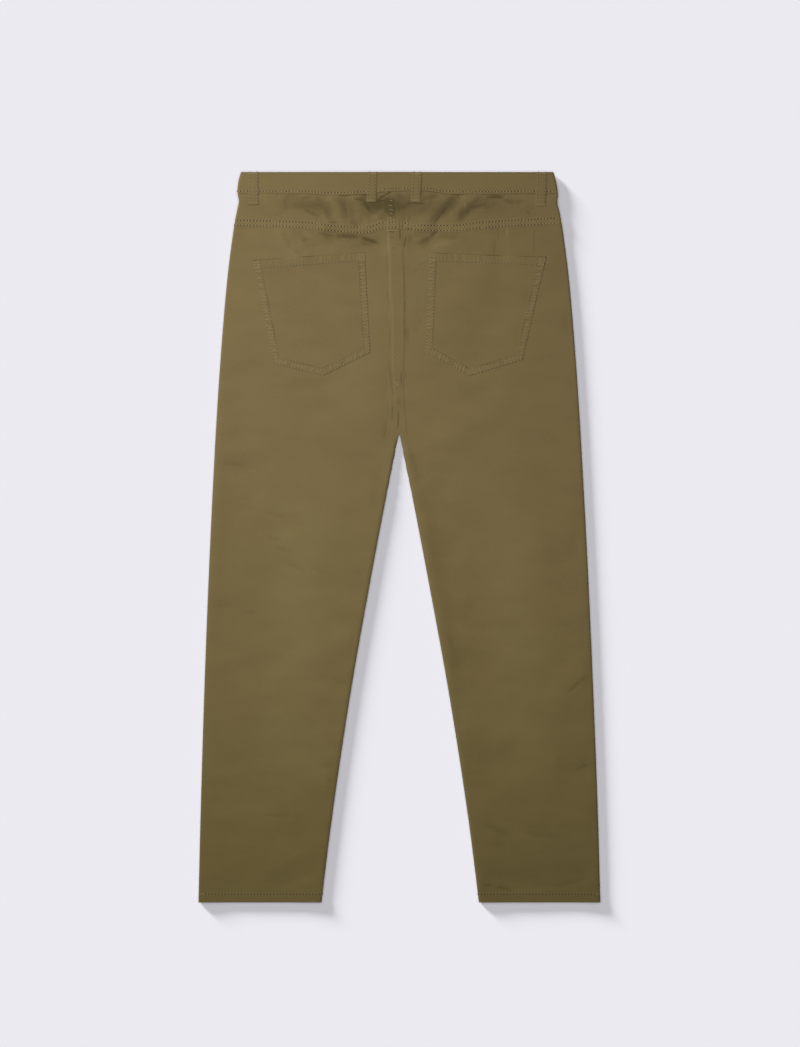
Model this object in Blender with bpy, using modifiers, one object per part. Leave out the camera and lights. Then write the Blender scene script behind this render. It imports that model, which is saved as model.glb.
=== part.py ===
"""Five-pocket trousers, laid flat on their front with the back side up.

The garment is made of the pieces it is cut and sewn from: two fronts with scoop pocket openings, their
facings and a coin pocket, a zip fly with its shield, two backs under a yoke in two pieces, two patch
pockets, a waistband that laps at the centre front, a tack button and six belt loops.

Frame: metres, x to the right of the view, y from the hems towards the waist, z up from the surface that
the garment lies on. The origin is on that surface, in the middle of the length and of the width. Heights
along the garment are given as "down", the distance below the waist's top edge. The wearer's left is -x.

A back panel is a sheet laid round the leg: it starts at its inner seam edge, follows the roll of the
inner fold, crosses the top, turns under at the side and ends in a tab that meets the front's edge.
"""

import math
from bisect import bisect_right
from collections import namedtuple
from itertools import product

import bmesh
import bpy
from mathutils import Vector
from mathutils.bvhtree import BVHTree

MM = 0.001

# The cut, in flat measurements
LENGTH = 1058 * MM
CROTCH_DOWN = 378 * MM
FRONT_WAIST_SEAM = 31.4 * MM
HEM_DEPTH = 11.5 * MM
SCOOP_WIDTH = 100 * MM
SCOOP_DEPTH = 75 * MM
SCOOP_MARGIN = 14 * MM
FACING_OUTER = 240 * MM
FACING_REACH = 0.97 * (SCOOP_DEPTH + SCOOP_MARGIN)
FLY_BOTTOM = 200 * MM
FLY_LAP = 6 * MM

# Cloth walls and the room between them
CLOTH = 1.1 * MM
FACING_WALL = 1.0 * MM
BAND_WALL = 2.0 * MM
LOOP_WALL = 0.95 * MM
SEAM_GAP = 0.3 * MM
CURVE_GAP = 0.7 * MM
STEP = 2 * MM

# How the layers lie
LIFT = 2.8 * MM
LIFT_FLAT = 34 * MM
LIFT_FALL = 70 * MM
EDGE_FALL = 45 * MM
EDGE_CALM = 14 * MM
UNWIND = 90 * MM
UNWIND_ROOM = 3 * CLOTH
EDGE_ROLL = 2.75 * MM
ROLL_FACES = 3
FOLD_FACE = math.pi * EDGE_ROLL / ROLL_FACES
SIDE_TAB = ROLL_FACES * FOLD_FACE
ALLOWANCE = 3 * FOLD_FACE
LAP_RISE = 0.6 * MM
HEM_RISE = 0.8 * MM
RIDGE_RISE = 0.5 * MM
LEAST_TOP = 2.7 * MM
FACING_COVER = 3.9 * MM
FLY_COVER = 5.7 * MM
COVER_FALL = 25 * MM

# Waistband
BAND_PROUD = 0.6 * MM
BAND_ROLL = 2.9 * MM
BAND_RISE = 1.6 * MM
BAND_RISE_SPAN = 110 * MM
BAND_LAP_STEP = 2.3 * MM
BAND_LEFT_END = 22 * MM
BAND_RIGHT_END = -20 * MM
LAP_RAMP_START = 30 * MM
LAP_RAMP_SPAN = 35 * MM
BUTTONHOLE_FROM = -4 * MM
BUTTONHOLE_TO = 14 * MM
BUTTONHOLE_HEIGHT = 4 * MM

# Button
BUTTON_RADIUS = 8.5 * MM
BUTTON_HEAD = 1.9 * MM
BUTTON_STEM = 1.6 * MM
BUTTON_ROUNDING = 0.5 * MM

# Fly
ZIP_TAPE_HALF = 12 * MM
ZIP_CHAIN_HALF = 2.5 * MM
ZIP_BED = 1.4 * MM
ZIP_TAPE = 0.6 * MM
ZIP_CHAIN = 1.2 * MM
ZIP_SLIDER = 1.5 * MM
ZIP_TOP = 34 * MM
ZIP_BOTTOM = 190 * MM
SLIDER_FROM = 40 * MM
SLIDER_TO = 51 * MM
SHIELD_BED = 3.2 * MM
SHIELD_INNER = -8 * MM
SHIELD_OUTER = 30 * MM
SHIELD_BOTTOM = 205 * MM

# Coin pocket, on the wearer's right
COIN_INNER = 146 * MM
COIN_OUTER = 204 * MM
COIN_TOP = 52 * MM
COIN_BED = 0.1 * MM

# Patch pockets
POCKET_HEM = 11.6 * MM
POCKET_HEM_RISE = 0.5 * MM

# Belt loops
LOOP_TACK = 6 * MM
LOOP_TOP = 0.4 * MM
LOOP_FREE = 1.25

# Grid sizes, and how often a point on a curved seam is looked for
SEAM_PASSES = 4
BACK_COLUMNS = 14
YOKE_ROWS = 5
BAND_BACK_COLUMNS = 22
BAND_SPREAD = 4
BAND_EDGE_ROW = 0.22
FRONT_COLUMNS = 2
SCOOP_ROWS = 6
ZIP_ROWS = 5
BUTTON_SIDES = 16
LOOP_SAMPLES = 5
CUT_TOLERANCE = 0.0001 * MM

# Side edges of the outline, the height of the cloth between the edges, and the radius of the side fold
Side = namedtuple("Side", "down left right level roll")
SIDES = [
    Side(0, -229.6, 223.2, 5.0, 2.5),
    Side(8, -232.0, 225.7, 5.0, 2.5),
    Side(16, -233.7, 227.4, 5.0, 2.5),
    Side(26, -234.6, 229.2, 5.0, 2.5),
    Side(34, -234.0, 229.7, 5.0, 2.5),
    Side(41, -232.6, 228.9, 5.1, 2.5),
    Side(46, -233.1, 228.9, 5.1, 2.5),
    Side(52, -234.5, 230.7, 5.2, 2.6),
    Side(72, -238.5, 234.8, 5.4, 2.7),
    Side(106, -243.6, 239.8, 5.6, 2.75),
    Side(156, -249.6, 245.9, 5.6, 2.75),
    Side(229, -256.1, 252.3, 5.4, 2.75),
    Side(330, -263.3, 259.6, 4.8, 2.75),
    Side(432, -269.1, 265.6, 4.2, 2.75),
    Side(591, -276.6, 273.9, 4.0, 2.75),
    Side(765, -283.2, 281.5, 4.0, 2.75),
    Side(940, -288.4, 288.0, 4.0, 2.75),
    Side(1058, -291.2, 291.2, 4.0, 2.75),
]

# Inner edges of the legs and the radius of their fold, which is pressed flat at the crotch
Inseam = namedtuple("Inseam", "down left right roll")
INSEAMS = [
    Inseam(378, 0.1, 0.4, 1.5),
    Inseam(388, -2.6, 2.3, 1.6),
    Inseam(403, -5.5, 4.9, 1.8),
    Inseam(475, -19.9, 19.6, 2.75),
    Inseam(591, -41.8, 41.8, 2.75),
    Inseam(765, -72.3, 73.3, 2.75),
    Inseam(940, -98.2, 100.2, 2.75),
    Inseam(1058, -112.9, 115.2, 2.75),
]

# The centre back seam leans to the left as it climbs to the waistband
SeatSeam = namedtuple("SeatSeam", "down x")
SEAT_SEAM = [
    SeatSeam(26, -11.4),
    SeatSeam(72, -6.7),
    SeatSeam(105, -5.6),
    SeatSeam(185, -3.6),
    SeatSeam(305, -4.2),
    SeatSeam(378, 0.25),
]

# Seams that cross the back
CrossSeam = namedtuple("CrossSeam", "x down")
YOKE_SEAM = [
    CrossSeam(-240, 67.0),
    CrossSeam(-144, 69.8),
    CrossSeam(-93, 75.2),
    CrossSeam(-50, 77.5),
    CrossSeam(-21, 70.5),
    CrossSeam(-7, 69.8),
    CrossSeam(8, 71.5),
    CrossSeam(30, 74.5),
    CrossSeam(73, 75.0),
    CrossSeam(117, 70.5),
    CrossSeam(240, 63.5),
]
WAIST_SEAM = [
    CrossSeam(-240, 31.4),
    CrossSeam(-144, 32.0),
    CrossSeam(-95, 33.6),
    CrossSeam(-50, 32.0),
    CrossSeam(-14, 28.4),
    CrossSeam(30, 27.0),
    CrossSeam(80, 32.2),
    CrossSeam(240, 31.4),
]

# Rows of the back panels, in zones of even steps from the yoke seam to the hem
RowZone = namedtuple("RowZone", "start end steps")
ROW_ZONES = [
    RowZone(70, 79, 1),
    RowZone(79, 81, 1),
    RowZone(81, 378, 16),
    RowZone(378, 468, 6),
    RowZone(468, 1044.5, 24),
    RowZone(1044.5, 1046.5, 1),
    RowZone(1046.5, 1058, 1),
]

# Folds and creases of the back: each lies round a line, raised (+) or sunk (-)
Fold = namedtuple("Fold", "x down end_x end_down half_width height")
FOLDS = [
    # over the fly's layers
    Fold(6, 30, 6, 190, 75, 1.2),
    # yoke, left half
    Fold(-156, 44, -101, 55, 15, -2.0),
    Fold(-98, 40, -79, 72, 12, 1.2),
    Fold(-79, 37, -57, 72, 12, -1.7),
    Fold(-44, 40, -17, 60, 16, -3.2),
    Fold(-200, 38, -175, 50, 16, 0.8),
    # yoke, right half
    Fold(-2, 47, 30, 40, 14, -1.8),
    Fold(38, 72, 66, 40, 13, 1.0),
    Fold(55, 70, 85, 37, 12, -1.6),
    Fold(81, 66, 103, 40, 12, 1.0),
    Fold(95, 62, 124, 40, 12, -1.8),
    Fold(126, 41, 170, 43, 14, -1.5),
    # seat, under the yoke
    Fold(-93, 90, -30, 105, 20, -2.4),
    Fold(-90, 116, -40, 126, 18, 0.9),
    Fold(-166, 91, -140, 124, 20, 1.2),
    Fold(25, 104, 56, 90, 19, -2.2),
    Fold(60, 116, 84, 96, 16, 0.9),
    Fold(145, 86, 146, 121, 18, -0.9),
    Fold(117, 141, 59, 228, 34, 1.5),
    Fold(150, 180, 110, 262, 34, -1.1),
    Fold(-150, 190, -110, 270, 40, 1.0),
    Fold(147, 330, 72, 376, 34, 1.3),
    Fold(-30, 330, -110, 372, 34, 1.0),
    # left leg
    Fold(-252, 424, -205, 424, 24, -1.2),
    Fold(-195, 482, -159, 526, 28, 1.3),
    Fold(-26, 440, -30, 482, 18, -1.0),
    Fold(-101, 594, -58, 594, 30, -1.1),
    Fold(-124, 692, -80, 680, 30, 1.4),
    Fold(-104, 782, -92, 797, 26, -1.0),
    Fold(-153, 858, -105, 888, 30, 1.5),
    Fold(-172, 939, -149, 971, 28, -1.0),
    Fold(-255, 935, -190, 944, 28, 1.2),
    Fold(-176, 1030, -130, 1004, 24, -1.1),
    # right leg
    Fold(24, 420, 30, 440, 18, -1.0),
    Fold(52, 549, 74, 549, 28, -1.1),
    Fold(62, 627, 84, 627, 26, 1.2),
    Fold(80, 717, 124, 717, 30, -1.1),
    Fold(104, 801, 143, 820, 30, 1.5),
    Fold(100, 850, 122, 860, 26, -1.0),
    Fold(227, 552, 258, 542, 26, -1.1),
    Fold(236, 752, 262, 720, 28, 1.3),
    Fold(245, 858, 270, 862, 26, -1.0),
    Fold(130, 1026, 262, 1018, 22, -1.0),
]

# Patch pockets: each corner of the outline in turn, from the mouth's outer end
Corner = namedtuple("Corner", "x down")
LEFT_POCKET = [
    Corner(-212.6, 127.6),
    Corner(-49.9, 115.6),
    Corner(-41.9, 261.4),
    Corner(-110.5, 295.1),
    Corner(-182.6, 277.0),
]
RIGHT_POCKET = [
    Corner(213.2, 122.7),
    Corner(43.4, 116.4),
    Corner(37.8, 261.0),
    Corner(101.5, 295.7),
    Corner(178.5, 272.0),
]

# Belt loops: where the strip's middle lies at its two ends, and its size
Loop = namedtuple("Loop", "name x_top x_bottom width length")
BACK_LOOPS = [
    Loop("belt_loop_side_left", -211.6, -211.6, 15.2, 47.4),
    Loop("belt_loop_centre_left", -38.5, -41.0, 14.0, 43.5),
    Loop("belt_loop_centre_right", 25.8, 23.0, 14.0, 43.5),
    Loop("belt_loop_side_right", 206.4, 204.1, 15.2, 49.7),
]
FRONT_LOOPS = [
    Loop("belt_loop_front_left", -122.0, -122.0, 14.5, 46.0),
    Loop("belt_loop_front_right", 122.0, 122.0, 14.5, 46.0),
]

# A point of the waistband's section
RingPoint = namedtuple("RingPoint", "x z on_back")

# Surfaces
Finish = namedtuple("Finish", "colour roughness metallic")
TWILL = Finish((0.190, 0.145, 0.068), 0.9, 0.0)
BUTTON_BRASS = Finish((0.300, 0.210, 0.110), 0.35, 1.0)
ZIP_BRASS = Finish((0.300, 0.210, 0.110), 0.4, 0.8)


def smooth_step(t):
    """Ease from 0 to 1 with level ends."""
    t = min(max(t, 0.0), 1.0)
    return t * t * (3.0 - 2.0 * t)


def blend(start, end, t):
    """Mix two numbers."""
    return start + (end - start) * t


def curve(rows, key, value):
    """Return a smooth function of one column by another, in metres, that never overshoots a row."""
    at = [getattr(row, key) * MM for row in rows]
    to = [getattr(row, value) * MM for row in rows]
    steps = [(to[i + 1] - to[i]) / (at[i + 1] - at[i]) for i in range(len(at) - 1)]
    slopes = [steps[0]]
    for before, after in zip(steps, steps[1:]):
        level_off = before * after <= 0.0
        slopes.append(0.0 if level_off else 2.0 * before * after / (before + after))
    slopes.append(steps[-1])

    def read(where):
        where = min(max(where, at[0]), at[-1])
        i = min(bisect_right(at, where), len(at) - 1) - 1
        width = at[i + 1] - at[i]
        t = (where - at[i]) / width
        rise = t * t * (3.0 - 2.0 * t)
        leave = t * (1.0 - t) * (1.0 - t) * width * slopes[i]
        arrive = t * t * (t - 1.0) * width * slopes[i + 1]
        return blend(to[i], to[i + 1], rise) + leave + arrive

    return read


side_left = curve(SIDES, "down", "left")
side_right = curve(SIDES, "down", "right")
cloth_level = curve(SIDES, "down", "level")
side_roll = curve(SIDES, "down", "roll")
inseam_left = curve(INSEAMS, "down", "left")
inseam_right = curve(INSEAMS, "down", "right")
inseam_roll = curve(INSEAMS, "down", "roll")
seat_seam = curve(SEAT_SEAM, "down", "x")
yoke_seam = curve(YOKE_SEAM, "x", "down")
waist_seam = curve(WAIST_SEAM, "x", "down")


class Half:
    """The left or the right half of the trousers, with the edges that its pieces run between."""

    def __init__(self, name, sign):
        self.name = name
        self.sign = sign

    def side(self, down):
        """The outline's side edge."""
        return side_left(down) if self.sign < 0 else side_right(down)

    def side_fold(self, down):
        """Where the top starts to turn under at the side, so that the fold's face is on the outline."""
        reach = fold_radius(self, down) * math.cos(math.pi / (2 * ROLL_FACES))
        return self.side(down) - self.sign * reach

    def inner(self, down):
        """The centre back seam's edge, or the outline's inner edge below the crotch."""
        if down <= CROTCH_DOWN:
            return seat_seam(down) + self.sign * SEAM_GAP / 2
        return inseam_left(down) if self.sign < 0 else inseam_right(down)

    def inner_fold(self, down):
        """Where the top starts to turn under at the leg's inner edge."""
        roll = inseam_roll(down)
        turn = min(turned_under(down) / roll, math.pi / 2)
        reach = roll * math.cos(math.pi / (2 * ROLL_FACES)) * math.sin(turn)
        return self.inner(down) + self.sign * reach

    def across(self, down):
        """Width of the top between its two folds."""
        return abs(self.side_fold(down) - self.inner_fold(down))


LEFT = Half("left", -1)
RIGHT = Half("right", 1)


def lift(down):
    """How far the loops and the button under the waistband hold the waist off the surface."""
    return LIFT * (1.0 - smooth_step((down - LIFT_FLAT) / LIFT_FALL))


def turned_under(down):
    """Length of back panel past the inner fold: none at the crotch, a fold and a tab down the leg."""
    full = math.pi * EDGE_ROLL + SIDE_TAB
    return full * min(max((down - CROTCH_DOWN) / UNWIND, 0.0), 1.0)


def lap_rise(x, down):
    """Extra height of the felled yoke seam on the panel's side of it, and of the turned hem."""
    below = down - yoke_seam(x)
    lap = 0.0
    if below > -SEAM_GAP / 2:
        lap = LAP_RISE * (1.0 - smooth_step((below - ALLOWANCE) / STEP))
    hem = HEM_RISE * smooth_step((down - (LENGTH - HEM_DEPTH - STEP)) / STEP)
    return lap + hem


def fold_radius(half, down):
    """Radius of the side fold, which takes in the extra cloth of a hem or a lapped seam."""
    return side_roll(down) + lap_rise(half.side(down), down) / 2


def fold_height(x, down):
    """Sum of the folds at a point of the back."""
    total = 0.0
    for fold in FOLDS:
        start = Vector((fold.x, fold.down)) * MM
        run = Vector((fold.end_x, fold.end_down)) * MM - start
        here = Vector((x, down)) - start
        t = min(max(here.dot(run) / run.length_squared, 0.0), 1.0)
        off = (here - run * t).length / (fold.half_width * MM)
        if off < 1.0:
            total += fold.height * MM * (1.0 - off * off) ** 2
    return total


def box_cover(x, down, inner, outer, bottom, height):
    """Height that a top must keep over a flat layer, easing off round its edges."""
    aside = max(inner - x, x - outer, 0.0)
    below = max(down - bottom, 0.0)
    away = math.hypot(aside, below)
    return blend(height, LEAST_TOP, smooth_step(away / COVER_FALL))


def cover(x, down):
    """Least height of the back's outer face over the layers under it."""
    fly = box_cover(x, down, SHIELD_INNER, SHIELD_OUTER, SHIELD_BOTTOM, FLY_COVER)
    inner = FACING_OUTER - SCOOP_WIDTH - 2 * SCOOP_MARGIN
    bottom = FRONT_WAIST_SEAM + SCOOP_DEPTH
    facing = box_cover(abs(x), down, inner, FACING_OUTER, bottom, FACING_COVER)
    return max(fly, facing)


def back_top(half, x, down):
    """Height of the back's outer face between its edges."""
    level = cloth_level(down)
    from_side = abs(half.side_fold(down) - x)
    if down > CROTCH_DOWN:
        from_inner = abs(x - half.inner_fold(down))
    else:
        from_inner = math.hypot(x - half.inner(CROTCH_DOWN), CROTCH_DOWN - down)
    side_crest = 2.0 * side_roll(down) - level
    inner_crest = 2.0 * inseam_roll(down) - level
    height = level + side_crest * (1.0 - smooth_step(from_side / EDGE_FALL))
    height += inner_crest * (1.0 - smooth_step(from_inner / EDGE_FALL))
    calm = smooth_step(from_side / EDGE_CALM) * smooth_step(from_inner / EDGE_CALM)
    height = max(height + calm * fold_height(x, down), cover(x, down))
    height += lap_rise(x, down)
    from_seam = abs(x - half.inner(down))
    open_seam = 1.0 - turned_under(down) / turned_under(LENGTH)
    height += RIDGE_RISE * open_seam * (1.0 - smooth_step((from_seam - ALLOWANCE) / FOLD_FACE))
    return lift(down) + height


def roll_under(x, toward, radius, past, down):
    """Follow the cloth round a fold, and back along the underside as a tab."""
    angle = min(past / radius, math.pi)
    tab = max(past - math.pi * radius, 0.0)
    return x + toward * (radius * math.sin(angle) - tab), lift(down) + radius * (1.0 + math.cos(angle))


def laid(half, down, distance):
    """Place of the back's outer face at a distance round the leg from its inner seam edge."""
    before = turned_under(down) - distance
    after = -before - half.across(down)
    if before > 0.0:
        return roll_under(half.inner_fold(down), -half.sign, inseam_roll(down), before, down)
    if after > 0.0:
        return roll_under(half.side_fold(down), half.sign, fold_radius(half, down), after, down)
    x = half.inner_fold(down) - half.sign * before
    return x, back_top(half, x, down)


def girth(half, down):
    """Length of the back's section from its inner seam edge to its side seam edge."""
    return turned_under(down) + half.across(down) + math.pi * fold_radius(half, down) + SIDE_TAB


def girth_columns(half, down):
    """Distances of a back sheet's columns: fixed at the inner seam and the side fold, even between."""
    total = girth(half, down)
    turn = math.pi * fold_radius(half, down)
    near = [FOLD_FACE * k for k in range(2 * ROLL_FACES + 1)]
    far = [total - SIDE_TAB - turn * (1.0 - k / ROLL_FACES) for k in range(ROLL_FACES + 1)]
    middle = [blend(near[-1], far[0], k / BACK_COLUMNS) for k in range(1, BACK_COLUMNS)]
    return near + middle + far + [total]


def laid_between(half, column, upper, lower, part):
    """Place of a back sheet's vertex, part of the way down from one curve across the back to another."""
    down = blend(upper(0.0), lower(0.0), part)
    for _ in range(SEAM_PASSES):
        x, z = laid(half, down, girth_columns(half, down)[column])
        down = blend(upper(x), lower(x), part)
    return at(x, down, z)


def zone_rows(zones):
    """Row positions of a list of zones."""
    rows = [zones[0].start * MM]
    for zone in zones:
        rows += [blend(zone.start, zone.end, (k + 1) / zone.steps) * MM for k in range(zone.steps)]
    return rows


def at(x, down, z):
    """A point in the shared frame."""
    return Vector((x, LENGTH / 2 - down, z))


def grid_sheet(columns, rows, place, turned=False):
    """Make a grid and move each of its vertices to place(column, row)."""
    sheet = bmesh.new()
    bmesh.ops.create_grid(sheet, x_segments=columns, y_segments=rows, size=0.5)
    for vert in sheet.verts:
        column = round((vert.co.x + 0.5) * columns)
        row = round((vert.co.y + 0.5) * rows)
        vert.co = place(column, row)
    bmesh.ops.triangulate(sheet, faces=sheet.faces, quad_method="FIXED")
    if turned:
        bmesh.ops.reverse_faces(sheet, faces=sheet.faces)
    sheet.normal_update()
    return sheet


def material(name, finish):
    """A plain surface for one piece."""
    made = bpy.data.materials.new(name)
    made.use_nodes = True
    shader = made.node_tree.nodes["Principled BSDF"]
    shader.inputs["Base Color"].default_value = (*finish.colour, 1.0)
    shader.inputs["Roughness"].default_value = finish.roughness
    shader.inputs["Metallic"].default_value = finish.metallic
    made.diffuse_color = (*finish.colour, 1.0)
    return made


def add_object(collection, name, shape, finish=TWILL):
    """Add a bmesh to the scene as a named piece."""
    mesh = bpy.data.meshes.new(name)
    shape.to_mesh(mesh)
    shape.free()
    piece = bpy.data.objects.new(name, mesh)
    mesh.materials.append(material(name + "_finish", finish))
    collection.objects.link(piece)
    return piece


def add_wall(piece, wall, thin=None):
    """Give a sheet its cloth: the sheet is the outer face, and the wall grows inwards from it."""
    solid = piece.modifiers.new("wall", "SOLIDIFY")
    solid.thickness = wall
    solid.offset = -1.0
    solid.use_even_offset = True
    solid.use_quality_normals = True
    if thin is not None:
        group = piece.vertex_groups.new(name="wall")
        for vert in piece.data.vertices:
            group.add([vert.index], thin(vert.co), "REPLACE")
        solid.vertex_group = group.name


def back_sheet(half):
    """The back panel: from the yoke seam to the hem, round the leg."""
    rows = zone_rows(ROW_ZONES)
    nominal = rows[0]

    def place(column, row):
        down = rows[len(rows) - 1 - row]
        ease = 1.0 - smooth_step((down - nominal) / UNWIND)

        def level(x):
            return down + (yoke_seam(x) - nominal) * ease

        return laid_between(half, column, level, level, 0.0)

    columns = len(girth_columns(half, nominal)) - 1
    return grid_sheet(columns, len(rows) - 1, place, turned=half.sign < 0)


def yoke_sheet(half):
    """Half of the yoke: between the waist seam and the back panel, from the seat seam round the side."""

    def upper(x):
        return waist_seam(x) + CURVE_GAP

    def lower(x):
        return yoke_seam(x) - SEAM_GAP

    def place(column, row):
        return laid_between(half, column, upper, lower, 1.0 - row / YOKE_ROWS)

    columns = len(girth_columns(half, FRONT_WAIST_SEAM)) - 1
    return grid_sheet(columns, YOKE_ROWS, place, turned=half.sign < 0)


def centre_front(down):
    """The edge where the fronts meet: the left front laps over as far as the fly's end."""
    lap = FLY_LAP * (1.0 - smooth_step((down - FLY_BOTTOM) / ALLOWANCE))
    return seat_seam(CROTCH_DOWN) + lap


def front_inner(half, down):
    """Inner edge of the front: at the centre, then along the back's turned edge."""
    if down <= CROTCH_DOWN:
        return centre_front(down) + half.sign * SEAM_GAP / 2
    tab = max(turned_under(down) - math.pi * inseam_roll(down), 0.0)
    unwinding = down < CROTCH_DOWN + UNWIND
    room = SEAM_GAP + (UNWIND_ROOM if unwinding else 0.0)
    return half.inner_fold(down) + half.sign * (tab + room)


def front_outer(half, down):
    """Outer edge of the front: along the back's side tab."""
    return half.side_fold(down) - half.sign * (SIDE_TAB + SEAM_GAP)


def scoop(half, down, grown=0.0):
    """The pocket opening's curved edge, a quarter of an ellipse, or the same curve grown inwards."""
    along = min((down - FRONT_WAIST_SEAM) / (SCOOP_DEPTH + grown), 1.0)
    back = (SCOOP_WIDTH + grown) * math.sqrt(max(1.0 - along * along, 0.0))
    return front_outer(half, down) - half.sign * back


def front_sheet(half):
    """The front panel, flat on the surface, cut away at the scoop pocket."""
    scoop_bottom = FRONT_WAIST_SEAM + SCOOP_DEPTH
    turns = [math.pi / 2 * k / SCOOP_ROWS for k in range(SCOOP_ROWS)]
    rows = [FRONT_WAIST_SEAM + SCOOP_DEPTH * math.sin(turn) for turn in turns]
    rows[0] += SEAM_GAP
    rows += [scoop_bottom] + [down for down in zone_rows(ROW_ZONES) if down > scoop_bottom + STEP]

    def place(column, row):
        down = rows[len(rows) - 1 - row]
        outer = front_outer(half, down) if down >= scoop_bottom else scoop(half, down)
        return at(blend(front_inner(half, down), outer, column / FRONT_COLUMNS), down, lift(down))

    return grid_sheet(FRONT_COLUMNS, len(rows) - 1, place, turned=half.sign > 0)


def facing_sheet(half):
    """The facing that shows in the scoop opening, inside the front."""
    columns, rows = 3, 6

    def place(column, row):
        drop = FACING_REACH * math.sin(math.pi / 2 * (1.0 - row / rows))
        down = FRONT_WAIST_SEAM + SEAM_GAP + drop
        outer = half.side_fold(down) - half.sign * STEP
        x = blend(scoop(half, down, SCOOP_MARGIN), outer, column / columns)
        return at(x, down, lift(down) + CLOTH + SEAM_GAP)

    return grid_sheet(columns, rows, place, turned=half.sign > 0)


def coin_pocket_sheet():
    """The coin pocket: in the right scoop opening, its foot along the opening's edge."""
    columns, rows = 4, 3

    def opening_depth(x):
        """How far down the opening's edge lies at a distance from the centre."""
        down = COIN_TOP
        for _ in range(SEAM_PASSES):
            aside = min((front_outer(RIGHT, down) - x) / SCOOP_WIDTH, 1.0)
            down = FRONT_WAIST_SEAM + SCOOP_DEPTH * math.sqrt(1.0 - aside * aside)
        return down

    def place(column, row):
        x = blend(COIN_INNER, COIN_OUTER, column / columns)
        down = blend(opening_depth(x) - STEP, COIN_TOP, row / rows)
        return at(x, down, lift(down) + COIN_BED)

    return grid_sheet(columns, rows, place, turned=True)


def shield_sheet():
    """The fly shield, behind the zip on the wearer's right."""
    columns, rows = 2, 8

    def place(column, row):
        down = blend(SHIELD_BOTTOM, ZIP_TOP, row / rows)
        x = blend(SHIELD_INNER, SHIELD_OUTER, column / columns)
        return at(x, down, lift(down) + SHIELD_BED)

    return grid_sheet(columns, rows, place, turned=True)


def zip_height(x, down):
    """Thickness of the zip: its tape, its chain, and its slider near the waist."""
    if abs(x) > ZIP_CHAIN_HALF + STEP / 10:
        return ZIP_TAPE
    return ZIP_SLIDER if SLIDER_FROM <= down <= SLIDER_TO else ZIP_CHAIN


def zip_sheet():
    """The closed zip's inner face, over a flat underside."""
    edge = STEP / 5
    across = [-ZIP_TAPE_HALF, -ZIP_CHAIN_HALF - edge, -ZIP_CHAIN_HALF]
    across += [-x for x in reversed(across)]
    along = [ZIP_TOP, SLIDER_FROM - edge, SLIDER_FROM, SLIDER_TO, SLIDER_TO + edge]
    along += [blend(SLIDER_TO, ZIP_BOTTOM, k / ZIP_ROWS) for k in range(1, ZIP_ROWS + 1)]

    def place(column, row):
        down = along[len(along) - 1 - row]
        x = across[column]
        return at(x, down, lift(down) + ZIP_BED + zip_height(x, down))

    return grid_sheet(len(across) - 1, len(along) - 1, place)


def band_top(x):
    """Height of the waistband's outer face on the back, highest over the lapped ends."""
    rise = BAND_RISE * (1.0 - smooth_step(abs(x) / BAND_RISE_SPAN))
    return LIFT - BAND_PROUD + 2.0 * BAND_ROLL + rise


def band_low(x, from_right):
    """Height of the waistband's outer face on the front, where the right end climbs over the left."""
    under = BAND_LAP_STEP * (1.0 - smooth_step((x - LAP_RAMP_START) / LAP_RAMP_SPAN))
    return LIFT - BAND_PROUD + (under if from_right else 0.0)


def band_section(down):
    """The waistband's outer face as a ring of points, from its left end round to its right end."""
    reach = BAND_ROLL * math.cos(math.pi / (2 * ROLL_FACES))
    left = side_left(down) + reach
    right = side_right(down) - reach
    centre = LIFT - BAND_PROUD + BAND_ROLL
    ramp_end = LAP_RAMP_START + LAP_RAMP_SPAN
    turns = [math.pi * k / ROLL_FACES for k in range(1, ROLL_FACES + 1)]
    front_left = [BAND_LEFT_END, BUTTONHOLE_TO]
    front_left += [blend(BUTTONHOLE_FROM, left, k / BAND_SPREAD) for k in range(BAND_SPREAD + 1)]
    back = [blend(left, right, k / BAND_BACK_COLUMNS) for k in range(1, BAND_BACK_COLUMNS + 1)]
    front_right = [blend(right, ramp_end, k / BAND_SPREAD) for k in range(1, BAND_SPREAD + 1)]
    front_right += [blend(ramp_end, LAP_RAMP_START, k / BAND_SPREAD) for k in range(1, BAND_SPREAD + 1)]
    front_right.append(BAND_RIGHT_END)
    ring = [RingPoint(x, band_low(x, False), False) for x in front_left]
    for turn in turns:
        x = left - BAND_ROLL * math.sin(turn)
        ring.append(RingPoint(x, centre - BAND_ROLL * math.cos(turn), True))
    ring += [RingPoint(x, band_top(x), True) for x in back]
    for turn in turns:
        x = right + BAND_ROLL * math.sin(turn)
        ring.append(RingPoint(x, centre + BAND_ROLL * math.cos(turn), True))
    ring += [RingPoint(x, band_low(x, True), False) for x in front_right]
    return ring


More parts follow.
